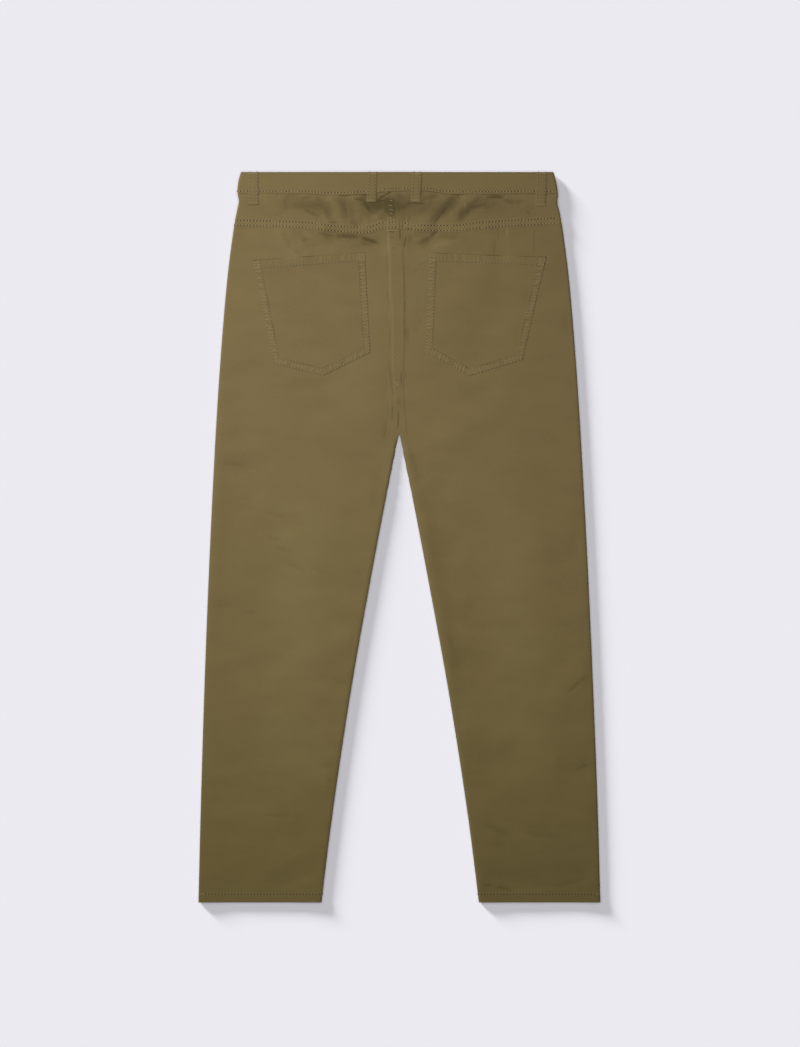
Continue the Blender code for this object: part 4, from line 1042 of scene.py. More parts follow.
@dataclass(frozen=True)
class TwillFinish:
    """Cotton twill, piece dyed and washed: matt, fine diagonal rib, painted highlight on ridges, painted
    shade in seams and creases.
    """

    name: str
    base: str = "#796841"
    # deep and pale are the ends of the colour ramp: they carry the cloth's uneven colour and the painted
    # shade and highlight of the tone
    deep: str = "#534624"
    pale: str = "#8b7b52"
    roughness: float = 0.88
    sheen: float = 0.10
    # The real rib is about 0.7 mm; it is drawn at 1.3 mm, so that it shows
    rib: float = 1.3 * MM
    rib_turn: float = math.radians(62)
    rib_depth: float = 0.035 * MM
    # Uneven yarns: fine flecks in the colour and in the surface
    slub: float = 2.6 * MM
    slub_depth: float = 0.03 * MM
    slub_tone: float = 0.3
    # Dye washed out unevenly: soft clouds, longer along the leg than across it
    cloud: float = 36 * MM
    cloud_shape: tuple[float, float, float] = (0.55, 1.35, 1.0)
    cloud_tone: float = 0.46
    # The colour turns greener and less blue from the upper legs towards the hems
    greener: tuple[float, float, float, float] = (1.0, 1.035, 0.87, 1.0)
    green_from: float = 120 * MM
    green_to: float = -520 * MM

    def make(self) -> Material:
        """Build the material."""
        settings = {"Roughness": self.roughness, "Sheen Weight": self.sheen, "Sheen Roughness": 0.6,
                    "Specular IOR Level": 0.25}
        material, tree, shader = new_material(self.name, settings)
        place = add_node(tree, "TexCoord", {}, {}).outputs["Object"]
        grain = add_node(tree, "TexNoise", {"Scale": 1.0 / self.slub, "Detail": 2.0}, {"Vector": place})
        tree.links.new(self.colour(tree, place, grain).outputs["Color"], shader.inputs["Base Color"])
        tree.links.new(self.surface(tree, grain).outputs["Normal"], shader.inputs["Normal"])
        return material

    def colour(self, tree: NodeTree, place: NodeSocket, grain: Node) -> Node:
        """Colour the cloth: its uneven colour, with the painted shade and highlight that the tone carries.

        Args:
            tree: The node tree.
            place: The object's own coordinates.
            grain: The yarns' unevenness.

        Returns:
            The node that gives the colour.
        """
        tone = add_node(tree, "Attribute", {"attribute_name": "tone"}, {}).outputs["Fac"]
        wide = add_node(tree, "Mapping", {"Scale": self.cloud_shape}, {"Vector": place})
        cloud = add_node(tree, "TexNoise", {"Scale": 1.0 / self.cloud, "Detail": 3.0}, {"Vector": wide})
        cloud_part = scale_add(tree, cloud, self.cloud_tone, -self.cloud_tone / 2.0)
        grain_part = scale_add(tree, grain, self.slub_tone, -self.slub_tone / 2.0)
        mix = add_node(tree, "Math", {"operation": "ADD"}, {0: cloud_part, 1: grain_part})
        dye_and_shading = add_node(tree, "Math", {"operation": "ADD"}, {0: tone, 1: mix})
        share = scale_add(tree, dye_and_shading, 0.5, 0.5, clamp=True)
        ramp = add_ramp(tree, share, ((0.0, self.deep), (1.0, self.pale), (0.5, self.base)))
        parts = add_node(tree, "SeparateXYZ", {}, {"Vector": place})
        down_leg = add_node(tree, "MapRange", {"From Min": self.green_from, "From Max": self.green_to},
                            {"Value": parts.outputs["Y"]})
        return add_node(tree, "MixRGB", {"blend_type": "MULTIPLY", "Color2": self.greener},
                        {"Fac": down_leg, "Color1": ramp})

    def surface(self, tree: NodeTree, grain: Node) -> Node:
        """Raise the diagonal rib and the yarns' unevenness.

        Args:
            tree: The node tree.
            grain: The yarns' unevenness.

        Returns:
            The node that gives the normal.
        """
        cloth = add_node(tree, "UVMap", {"uv_map": "cloth"}, {})
        turned = add_node(tree, "Mapping", {"Rotation": (0.0, 0.0, self.rib_turn)}, {"Vector": cloth})
        # A wave texture of scale 1 has a band every 2 pi / 20
        ribs = add_node(tree, "TexWave", {"Scale": 2.0 * math.pi / 20.0 / self.rib, "Distortion": 0.6,
                                          "Detail": 1.0}, {"Vector": turned})
        rib_bump = add_node(tree, "Bump", {"Distance": self.rib_depth}, {"Height": ribs.outputs["Fac"]})
        return add_node(tree, "Bump", {"Distance": self.slub_depth}, {"Height": grain, "Normal": rib_bump})


@dataclass(frozen=True)
class ThreadFinish:
    """Spun polyester thread: a little smoother and paler than the cloth, with painted shade where it dives
    into a needle hole.
    """

    name: str
    base: str = "#a8976d"
    # The colour of the painted shade in a needle hole and at a stitch's ends
    hole: str = "#30260f"
    roughness: float = 0.6

    def make(self) -> Material:
        """Build the material."""
        settings = {"Roughness": self.roughness, "Specular IOR Level": 0.35}
        material, tree, shader = new_material(self.name, settings)
        tone = add_node(tree, "Attribute", {"attribute_name": "tone"}, {}).outputs["Fac"]
        share = scale_add(tree, tone, 0.5, 0.5, clamp=True)
        ramp = add_ramp(tree, share, ((0.0, self.hole), (1.0, self.base)))
        tree.links.new(ramp.outputs["Color"], shader.inputs["Base Color"])
        return material


@dataclass(frozen=True)
class BrassFinish:
    """Antique brass, tumbled after plating: patches of brown and of rubbed paler metal, spread at random."""

    name: str
    pale: str = "#9a7f4d"
    dark: str = "#4e3c22"
    roughness: float = 0.38
    rub_scale: float = 900.0
    rub_depth: float = 0.02 * MM

    def make(self) -> Material:
        """Build the material."""
        material, tree, shader = new_material(self.name, {"Metallic": 1.0, "Roughness": self.roughness})
        place = add_node(tree, "TexCoord", {}, {}).outputs["Object"]
        rub = add_node(tree, "TexNoise", {"Scale": self.rub_scale, "Detail": 3.0}, {"Vector": place})
        ramp = add_ramp(tree, rub, ((0.35, self.dark), (0.62, self.pale)))
        bump = add_node(tree, "Bump", {"Distance": self.rub_depth}, {"Height": rub})
        tree.links.new(ramp.outputs["Color"], shader.inputs["Base Color"])
        tree.links.new(bump.outputs["Normal"], shader.inputs["Normal"])
        return material


@dataclass(frozen=True)
class PaperFinish:
    """Background paper: plain, pale and matt."""

    name: str
    base: str = "#ebeaf1"

    def make(self) -> Material:
        """Build the material."""
        settings = {"Base Color": linear(self.base), "Roughness": 1.0, "Specular IOR Level": 0.0}
        return new_material(self.name, settings)[0]


def new_object(name: str, shape: BMesh, material: Material) -> Object:
    """Put a mesh of one material into the scene.

    Args:
        name: The object's name.
        shape: Its mesh, which is used up.
        material: Its finish.

    Returns:
        The object.
    """
    mesh = bpy.data.meshes.new(name)
    shape.to_mesh(mesh)
    shape.free()
    mesh.materials.append(material)
    made = bpy.data.objects.new(name, mesh)
    bpy.context.scene.collection.objects.link(made)
    return made


@dataclass(frozen=True)
class Cut:
    """The flat piece of cloth that a sheet was cut from, in metres and square metres."""

    width: float
    length: float
    area: float
    rests_on: tuple[str, ...]


@dataclass
class Workroom:
    """Adds finished pieces to the scene, hangs them on the root body and hides the solids that they stand
    for.
    """

    twill: Material
    thread: Material
    brass: Material

    def add(self, name: str, shape: BMesh, material: Material, slot: str,
            nodes: Sequence[str] = ()) -> Object:
        """Add a piece.

        Args:
            name: The piece's name.
            shape: Its mesh, which is used up.
            material: Its finish.
            slot: Not used.
            nodes: The solids that it stands for.

        Returns:
            The piece.
        """
        piece = new_object(name, shape, material)
        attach(piece, "root")
        if nodes:
            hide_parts(*nodes)
        LOG.info("%s: %d faces", name, len(piece.data.polygons))
        return piece

    def add_cloth(self, name: str, shape: BMesh, wall: float, cut: Cut,
                  nodes: Sequence[str]) -> Object:
        """Add a sheet of twill, and let its wall grow inwards from the outer face.

        Args:
            name: The piece's name.
            shape: Its outer face.
            wall: Thickness of the cloth.
            cut: The flat cloth it was made from.
            nodes: The solids that it stands for.

        Returns:
            The piece.
        """
        piece = self.add(name, shape, self.twill, "twill", nodes)
        solid = piece.modifiers.new("wall", "SOLIDIFY")
        solid.thickness = wall
        solid.offset = -1.0
        list(cut.rests_on)
        return piece


class Look(Enum):
    """How light a row's thread is, and how dark the painted shade of its needle holes is, from -1 to 1; at 0
    no hole shows.
    """

    PLAIN = (1.0, -1.0)
    POCKET = (0.6, -0.42)
    MOUTH = (0.55, -0.35)
    LOOP = (0.5, -0.35)
    HEM = (0.3, -1.0)
    FRONT = (0.6, -0.45)
    TACK = (0.75, 0.0)
    COARSE = (0.25, 0.0)


class Sewing:
    """Rows of thread, laid on the pieces that they hold."""

    # Beads formed at a time, which is far faster than one by one in a large mesh
    lot_size = 40
    # How fast a stitch's painted shade deepens past the middle of each half, towards the ends that dive into
    # the cloth
    end_shading = 1.4

    def __init__(self, name: str, grounds: Sequence[BVHTree], facing: Facing, seed: int) -> None:
        """Start a set of rows.

        Args:
            name: The finished piece's name.
            grounds: The faces that the thread lies on.
            facing: The side that the thread is on.
            seed: Makes the rows' small wavering the same each time.
        """
        self.name = name
        self.grounds = grounds
        self.facing = facing
        # Rows on the side that the garment lies on are pressed flat
        self.bulge = 0.3 if facing is Facing.UP else 0.1
        self.draw = np.random.default_rng(seed)
        self.beads: list[tuple[Matrix, float]] = []

    def ground(self, place: Plan) -> tuple[Vector, Vector] | None:
        """Find the outermost face at a place.

        Args:
            place: The place in the plan.

        Returns:
            The point and the face's normal, or None past the cloth's edge.
        """
        side = self.facing.value
        best = None
        for tree in self.grounds:
            hit, normal, _, _ = tree.ray_cast(at(*place, 0.1 * side), Vector((0.0, 0.0, -side)))
            if hit is not None and (best is None or hit.z * side > best[0].z * side):
                best = (hit, normal if normal.z * side > 0.0 else -normal)
        return best

    def bead(self, start: Vector, end: Vector, up: Vector, width: float, height: float,
             tone: float) -> None:
        """Add one bead between two points.

        Args:
            start: One end.
            end: The other end.
            up: Away from the cloth.
            width: Its width across.
            height: Its height off the cloth.
            tone: Its lightness, from -1 to 1: over 0 for a stitch, whose ends turn dark with painted shade,
                and under 0 for a needle hole's painted shade.
        """
        run = end - start
        ahead = run.normalized()
        aside = ahead.cross(up).normalized()
        up = aside.cross(ahead)
        shape = Matrix((aside * width / 2.0, up * height, ahead * run.length / 2.0))
        shape = shape.transposed().to_4x4()
        shape.translation = (start + end) / 2.0
        self.beads.append((shape, tone))

    def stitch(self, start: Plan, end: Plan, thread: float, look: Look) -> None:
        """Lay one stitch between two places, with the needle hole that it starts from.

        Args:
            start: Where it comes out.
            end: Where it goes in.
            thread: Thickness of the thread.
            look: How light the thread and the hole are.
        """
        first, last = self.ground(start), self.ground(end)
        if first is None or last is None:
            return
        tone, hole = look.value
        up = (first[1] + last[1]).normalized()
        above = up * THREAD_CLEAR
        self.bead(first[0] + above, last[0] + above, up, thread, thread * self.bulge, tone)
        if hole < 0.0:
            # The dimple that the needle leaves is a shaded pit, drawn as a flat dark bead
            reach = (last[0] - first[0]).normalized() * HOLE_LENGTH
            behind, under = first[0] - reach * (1.0 - HOLE_LAP), first[0] + reach * HOLE_LAP
            self.bead(behind, under, up, HOLE_WIDTH, HOLE_HEIGHT, hole)

    def run(self, route: Sequence[Plan], look: Look = Look.PLAIN, pitch: float = STITCH_PITCH,
            length: float = STITCH_LENGTH) -> None:
        """Lay a row of stitches along a route of places in the plan.

        Args:
            route: The places.
            look: How light the thread and the holes are.
            pitch: Length of one stitch with its needle hole.
            length: Length of the thread that shows.
        """
        points = np.array(route)
        steps = np.hypot(*np.diff(points, axis=0).T)
        measure = np.concatenate(([0.0], np.cumsum(steps)))
        count = int(measure[-1] / pitch)
        waver = self.draw.normal(0.0, 0.10 * MM, (count + 1, 2))
        for k in range(count):
            ends = []
            for distance in (k * pitch, k * pitch + length):
                x = np.interp(distance, measure, points[:, 0]) + waver[k, 0]
                down = np.interp(distance, measure, points[:, 1]) + waver[k, 1]
                ends.append((float(x), float(down)))
            self.stitch(ends[0], ends[1], THREAD, look)

    def tack(self, start: Plan, end: Plan, width: float) -> None:
        """Lay a bar tack: short stitches close together across a line.

        Args:
            start: One end of the line.
            end: The other end.
            width: Length of the stitches.
        """
        run = Vector((end[0] - start[0], end[1] - start[1]))
        count = max(int(run.length / (TACK_THREAD * 1.25)), 2)
        aside = Vector((-run.y, run.x)).normalized() * width / 2.0
        for k in range(count + 1):
            middle = Vector(start) + run * (k / count)
            lean = run.normalized() * TACK_THREAD * (0.4 if k % 2 else -0.4)
            start_place, end_place = middle - aside - lean, middle + aside + lean
            self.stitch(tuple(start_place), tuple(end_place), TACK_THREAD, Look.TACK)

    def finish(self, room: Workroom) -> Object:
        """Form the beads, a small lot at a time, and join them into one piece."""
        whole = bmesh.new()
        whole.verts.layers.float.new("tone")
        lot_mesh = bpy.data.meshes.new("lot")
        for start in range(0, len(self.beads), self.lot_size):
            lot = bmesh.new()
            layer = lot.verts.layers.float.new("tone")
            for shape, tone in self.beads[start:start + self.lot_size]:
                made = bmesh.ops.create_uvsphere(lot, u_segments=6, v_segments=4, radius=1.0, matrix=shape)
                middle, reach = shape.translation, shape.col[2].length
                # A stitch's ends get painted shade where they dive into the cloth
                fall = self.end_shading if tone > 0.0 else 0.0
                for vert in made["verts"]:
                    vert[layer] = tone - fall * max((vert.co - middle).length / reach - 0.5, 0.0)
            for face in lot.faces:
                face.smooth = True
            lot.to_mesh(lot_mesh)
            lot.free()
            whole.from_mesh(lot_mesh)
        bpy.data.meshes.remove(lot_mesh)
        return room.add(self.name, whole, room.thread, "twill")


@dataclass(frozen=True)
class PocketPlan:
    """The outline of a back pocket: five corners in millimetres, from the mouth's outer end."""

    corners: tuple[Point, ...]

    def points(self) -> list[Vector]:
        """The corners in metres."""
        return [Vector((corner.x * MM, corner.down * MM)) for corner in self.corners]

    def inwards(self, k: int) -> tuple[Vector, Vector, Vector]:
        """One edge of the outline.

        Args:
            k: The edge's number; the mouth is 0.

        Returns:
            Its start, its direction and the direction into the pocket.
        """
        points = self.points()
        start, end = points[k], points[(k + 1) % len(points)]
        ahead = (end - start).normalized()
        inner = Vector((-ahead.y, ahead.x))
        middle = sum(points, Vector((0.0, 0.0))) / len(points)
        return start, ahead, inner if inner.dot(middle - start) > 0.0 else -inner

    def depth(self, k: int, x: Numbers, down: Numbers) -> Pair:
        """Distance of places from one edge of the outline, and along it.

        Args:
            k: The edge's number.
            x: Places across.
            down: Places down.

        Returns:
            The distance inwards and the distance along.
        """
        start, ahead, inner = self.inwards(k)
        off_x, off_down = x - start.x, down - start.y
        return off_x * inner.x + off_down * inner.y, off_x * ahead.x + off_down * ahead.y

    def from_sewn(self, x: Numbers, down: Numbers) -> Pair:
        """Distance of places from the nearest sewn edge, and along it.

        Args:
            x: Places across.
            down: Places down.

        Returns:
            The distance inwards and the distance along.
        """
        best, best_along = self.depth(1, x, down)
        for k in (2, 3, 4):
            depth, along = self.depth(k, x, down)
            nearer = depth < best
            best_along = np.where(nearer, along + 0.2 * k, best_along)
            best = np.where(nearer, depth, best)
        return best, best_along

    def within(self, x: Numbers, down: Numbers) -> Numbers:
        """Distance of places inwards from the nearest edge, less than 0 outside."""
        return np.minimum(self.from_sewn(x, down)[0], self.depth(0, x, down)[0])

    def crossing(self, k: int, depth: float, other: int, other_depth: float) -> Plan:
        """Where two lines inside the outline meet, each at a depth from an edge."""
        start, ahead, inner = self.inwards(k)
        other_start, _, other_inner = self.inwards(other)
        here, there = start + inner * depth, other_start + other_inner * other_depth
        travel = (there - here).dot(other_inner) / ahead.dot(other_inner)
        return tuple(here + ahead * travel)


LEFT_POCKET = PocketPlan((Point(-212.6, 127.6), Point(-49.9, 115.6), Point(-41.9, 261.4),
                          Point(-110.5, 295.1), Point(-182.6, 277.0)))
RIGHT_POCKET = PocketPlan((Point(213.2, 122.7), Point(43.4, 116.4), Point(37.8, 261.0),
                           Point(101.5, 295.7), Point(178.5, 272.0)))


@dataclass
class Backs:
    """The two back panels, laid round the legs, and the two halves of the yoke."""

    step: float = 4.2 * MM
    yoke_step: float = 0.9 * MM
    near_columns: int = 5
    roll_columns: int = 6
    tab_columns: int = 2
    top_width: float = 240 * MM
    waist: float = 32 * MM
    panel_top: float = 70 * MM
    yoke_depth: float = 42 * MM
    # Where the grid is split once more, and where twice
    fine_above: float = 330 * MM
    fine_hem: float = 22 * MM
    finest_above: float = 127 * MM
    finest_from: float = -175 * MM
    finest_to: float = 200 * MM
    finest_hem: float = 15.5 * MM
    finest_seam: float = 14 * MM
    panel_cut: Cut = Cut(0.316, 0.992, 0.2450, ("front_left", "front_right"))
    yoke_cut: Cut = Cut(0.252, 0.050, 0.0101, ("front_left", "front_right"))

    def distance(self, half: Half, column: Numbers, middle: int, down: Numbers) -> Numbers:
        """Distance round the leg of a grid column.

        Args:
            half: The half that the cloth belongs to.
            column: Grid columns.
            middle: Number of columns across the top.
            down: Places down.

        Returns:
            Length of cloth from the inner seam edge.
        """
        turn = math.pi * fold_radius(half, down)
        total = turned_under(down) + half.across(down) + turn + SIDE_TAB
        roll_start = total - SIDE_TAB - turn
        first, second = self.near_columns, self.near_columns + middle
        third = second + self.roll_columns
        near = column / first * NEAR_EDGE
        top = blend(NEAR_EDGE, roll_start, (column - first) / middle)
        roll = roll_start + turn * (column - second) / self.roll_columns
        tab = total - SIDE_TAB + SIDE_TAB * (column - third) / self.tab_columns
        inner = np.where(column <= first, near, top)
        return np.where(column <= second, inner, np.where(column <= third, roll, tab))

    def bent(self, half: Half, column: Numbers, middle: int, level: Numbers,
             seam: Callable[[Numbers], Numbers]) -> Spots:
        """Place points on rows that follow a seam, which runs by where the points come to lie.

        Args:
            half: The half that the cloth belongs to.
            column: Grid columns.
            middle: Number of columns across the top.
            level: Places down to start from.
            seam: Gives the places down of the rows for places across.

        Returns:
            The places on the back.
        """
        down = level
        for _ in range(4):
            down = seam(laid_across(half, down, self.distance(half, column, middle, down)))
        return laid(half, down, self.distance(half, column, middle, down))

    def panel(self, half: Half) -> BMesh:
        """Cut one back panel, from the yoke seam to the hem."""
        pocket = LEFT_POCKET if half is LEFT else RIGHT_POCKET
        middle = round(self.top_width / self.step)
        columns = self.near_columns + middle + self.roll_columns + self.tab_columns
        rows = round((LENGTH - self.panel_top) / self.step)

        def place(column: Numbers, row: Numbers) -> Spots:
            """Follow the yoke seam at the top, and run level below it."""
            level = blend(self.panel_top, LENGTH, row / rows)
            hold = 1.0 - ease((level - self.panel_top) / UNWIND)
            spots = self.bent(half, column, middle, level,
                              lambda x: level + (yoke_seam(x) - self.panel_top) * hold)
            within = ease((pocket.within(spots.x, spots.down) - 1.2 * MM) / (3.0 * MM))
            return replace(spots, z=spots.z - POCKET_SINK * within)

        def near_seam(x: Numbers, down: Numbers) -> Numbers:
            """The centre back seam and its allowance."""
            return (down < CROTCH_DOWN + 8 * MM) & (x > -24 * MM) & (x < 15 * MM)

        def seat(x: Numbers, down: Numbers) -> Numbers:
            """The upper part, where the creases are finer, the hem and the seams."""
            return (down < self.fine_above) | (down > LENGTH - self.fine_hem) | near_seam(x, down)

        def sewn(x: Numbers, down: Numbers) -> Numbers:
            """The seams' strips and the hem."""
            creased = (down < self.finest_above) & (x > self.finest_from) & (x < self.finest_to)
            seam = down - yoke_seam(x) < self.finest_seam
            return seam | creased | (down > LENGTH - self.finest_hem) | near_seam(x, down)

        return cut_sheet(columns, rows, place, Facing.UP, (seat, sewn))

    def yoke(self, half: Half) -> BMesh:
        """Cut one half of the yoke, which lies between the waist seam and the back panel."""
        middle = round(self.top_width / self.yoke_step)
        columns = self.near_columns + middle + self.roll_columns + self.tab_columns
        rows = round(self.yoke_depth / self.yoke_step)

        def place(column: Numbers, row: Numbers) -> Spots:
            """Share out the rows between the two seams."""
            share = row / rows
            level = blend(self.waist, self.panel_top, share)
            return self.bent(half, column, middle, level,
                             lambda x: blend(waist_seam(x) - YOKE_TUCK, yoke_seam(x) - SEAM_MEET, share))

        return cut_sheet(columns, rows, place, Facing.UP)

    def build(self, room: Workroom) -> dict[str, BVHTree]:
        """Add the panels and the yoke.

        Args:
            room: Where pieces are added.

        Returns:
            The faces that other pieces lie on, by name.
        """
        grounds = {}
        for half in (LEFT, RIGHT):
            for name, shape, cut in (("back_" + half.name, self.panel(half), self.panel_cut),
                                     ("yoke_" + half.name, self.yoke(half), self.yoke_cut)):
                grounds[name] = BVHTree.FromBMesh(shape)
                room.add_cloth(name + "_twill", shape, CLOTH, cut, (name,))
        return grounds


@dataclass
class PatchPocket:
    """A back pocket: a five-cornered patch on the panel, hemmed at the mouth and sewn with two rows."""

    half: Half
    plan: PocketPlan
    step: float = 4.0 * MM
    band: float = 9.6 * MM
    band_rise: float = 0.2 * MM
    mouth: float = 12.2 * MM
    mouth_rise: float = 0.22 * MM
    edge: float = 1.6 * MM
    edge_drop: float = 0.4 * MM
    rise: float = 0.5 * MM
    cut: Cut = Cut(0.190, 0.202, 0.0262, ("back_left", "back_right"))

    def relief(self, x: Numbers, down: Numbers) -> Pair:
        """Relief and tone of the patch over the panel.

        Args:
            x: Places across.
            down: Places down.

        Returns:
            The height and the tone at each place.
        """
        sewn, along = self.plan.from_sewn(x, down)
        mouth, across = self.plan.depth(0, x, down)
        band = 1.0 - ease((sewn - self.band) / (2.0 * MM))
        hem = 1.0 - ease((mouth - self.mouth) / (1.6 * MM))
        height = np.maximum(self.band_rise * band, self.mouth_rise * hem)
        more, tone = POCKET_STRIP.shape(sewn, along)
        height, tone = height + more * (1.0 - 0.6 * hem), tone * (1.0 - 0.6 * hem)
        more, shade = MOUTH_STRIP.shape(mouth, across)
        height, tone = height + more, tone + shade * ease((sewn - 2.0 * MM) / (2.0 * MM))
        # Painted shade along the inner side of the sewn border, and a painted highlight over the border
        inner = hump(sewn - self.band - 0.2 * MM, 1.9 * MM)
        fading = 0.6 + 0.4 * Mottle(38 * MM, 61)(along, 0.0 * along)
        tone = tone - 0.46 * inner * (1.0 - hem) * fading + 0.10 * band * (1.0 - inner)
        # Painted shade on the folded edge, and a deep line of painted shade where the mouth gapes
        edge = 1.0 - ease(np.minimum(sewn, mouth) / self.edge)
        lip = hump(mouth - 0.5 * MM, 1.5 * MM) * (0.55 + 0.45 * Mottle(46 * MM, 63)(across, 0.0 * across))
        return height - self.edge_drop * edge, tone - 0.15 * edge - 0.8 * lip

    def build(self, room: Workroom) -> BVHTree:
        """Add the pocket.

        Args:
            room: Where pieces are added.

        Returns:
            Its outer face, for the thread.
        """
        points = self.plan.points()
        columns = round((points[1] - points[0]).length / self.step)
        rows = round((points[4] - points[0]).length / self.step)
        foot = sorted((point.x, point.y) for point in points[2:])

        def place(column: Numbers, row: Numbers) -> Spots:
            """Fill the outline from the mouth to the pointed foot."""
            share = column / columns
            top_x, top_down = blend(points[0].x, points[1].x, share), blend(points[0].y, points[1].y, share)
            foot_x = blend(points[4].x, points[2].x, share)
            foot_down = np.interp(foot_x, *zip(*foot))
            x, down = blend(top_x, foot_x, row / rows), blend(top_down, foot_down, row / rows)
            z, under = back_top(self.half, x, down)
            height, tone = self.relief(x, down)
            return Spots(x, down, z + self.rise + height, x, tone)

        def border(x: Numbers, down: Numbers) -> Numbers:
            """The sewn strips."""
            return (self.plan.from_sewn(x, down)[0] < 14 * MM) | (self.plan.depth(0, x, down)[0] < 16 * MM)

        def edge(x: Numbers, down: Numbers) -> Numbers:
            """The folded edge."""
            return self.plan.within(x, down) < 2.2 * MM

        shape = cut_sheet(columns, rows, place, Facing.UP, (border, border, edge))
        ground = BVHTree.FromBMesh(shape)
        name = "back_pocket_" + self.half.name
        room.add_cloth(name + "_twill", shape, CLOTH, self.cut, (name,))
        return ground

    def sew(self, grounds: Sequence[BVHTree], room: Workroom) -> None:
        """Add the pocket's rows of thread and its bar tacks.

        Args:
            grounds: The faces that the thread lies on.
            room: Where pieces are added.
        """
        sewing = Sewing("thread_pocket_" + self.half.name, grounds, Facing.UP, 50 + self.half.sign)
        for row in (distance * MM for distance in POCKET_ROWS):
            route = [self.plan.crossing(4, row, 0, 1.5 * MM), self.plan.crossing(4, row, 3, row),
                     self.plan.crossing(3, row, 2, row), self.plan.crossing(2, row, 1, row),
                     self.plan.crossing(1, row, 0, 1.5 * MM)]
            sewing.run(route, Look.POCKET)
        hem = [self.plan.crossing(0, 11.6 * MM, 4, 2 * MM), self.plan.crossing(0, 11.6 * MM, 1, 2 * MM)]
        sewing.run(hem, Look.MOUTH)
        for side in (4, 1):
            for depth in (1.4 * MM, 7.6 * MM):
                sewing.tack(self.plan.crossing(side, depth, 0, 1.2 * MM),
                            self.plan.crossing(side, depth, 0, 11.5 * MM), 1.7 * MM)
            sewing.tack(self.plan.crossing(0, 11.2 * MM, side, 1.2 * MM),
                        self.plan.crossing(0, 11.2 * MM, side, 8.5 * MM), 1.7 * MM)
        sewing.finish(room)


def centre_front(down: Numbers) -> Numbers:
    """The edge where the fronts meet: the left front laps over as far as the fly's end."""
    return seat_seam(CROTCH_DOWN) + FLY_LAP * (1.0 - ease((down - FLY_BOTTOM) / (9 * MM)))


def front_inner(half: Half, down: Numbers) -> Numbers:
    """Inner edge of the front: at the centre, then along the back's turned edge."""
    tab = np.maximum(turned_under(down) - math.pi * inseam_roll(down), 0.0)
    room = SEAM_GAP + np.where(down < CROTCH_DOWN + UNWIND, UNWIND_ROOM, 0.0)
    leg = half.inner_fold(down) + half.sign * (tab + room)
    return np.where(down <= CROTCH_DOWN, centre_front(down) + half.sign * SEAM_GAP / 2, leg)


def front_outer(half: Half, down: Numbers) -> Numbers:
    """Outer edge of the front: along the back's side tab."""
    return half.side_fold(down) - half.sign * (SIDE_TAB + SEAM_GAP)


def scoop(half: Half, down: Numbers, grown: float = 0.0) -> Numbers:
    """The pocket opening's curved edge, a quarter of an ellipse, or the same curve grown inwards."""
    along = np.clip((down - FRONT_WAIST_SEAM) / (SCOOP_DEPTH + grown), 0.0, 1.0)
    return front_outer(half, down) - half.sign * (SCOOP_WIDTH + grown) * np.sqrt(1.0 - along * along)


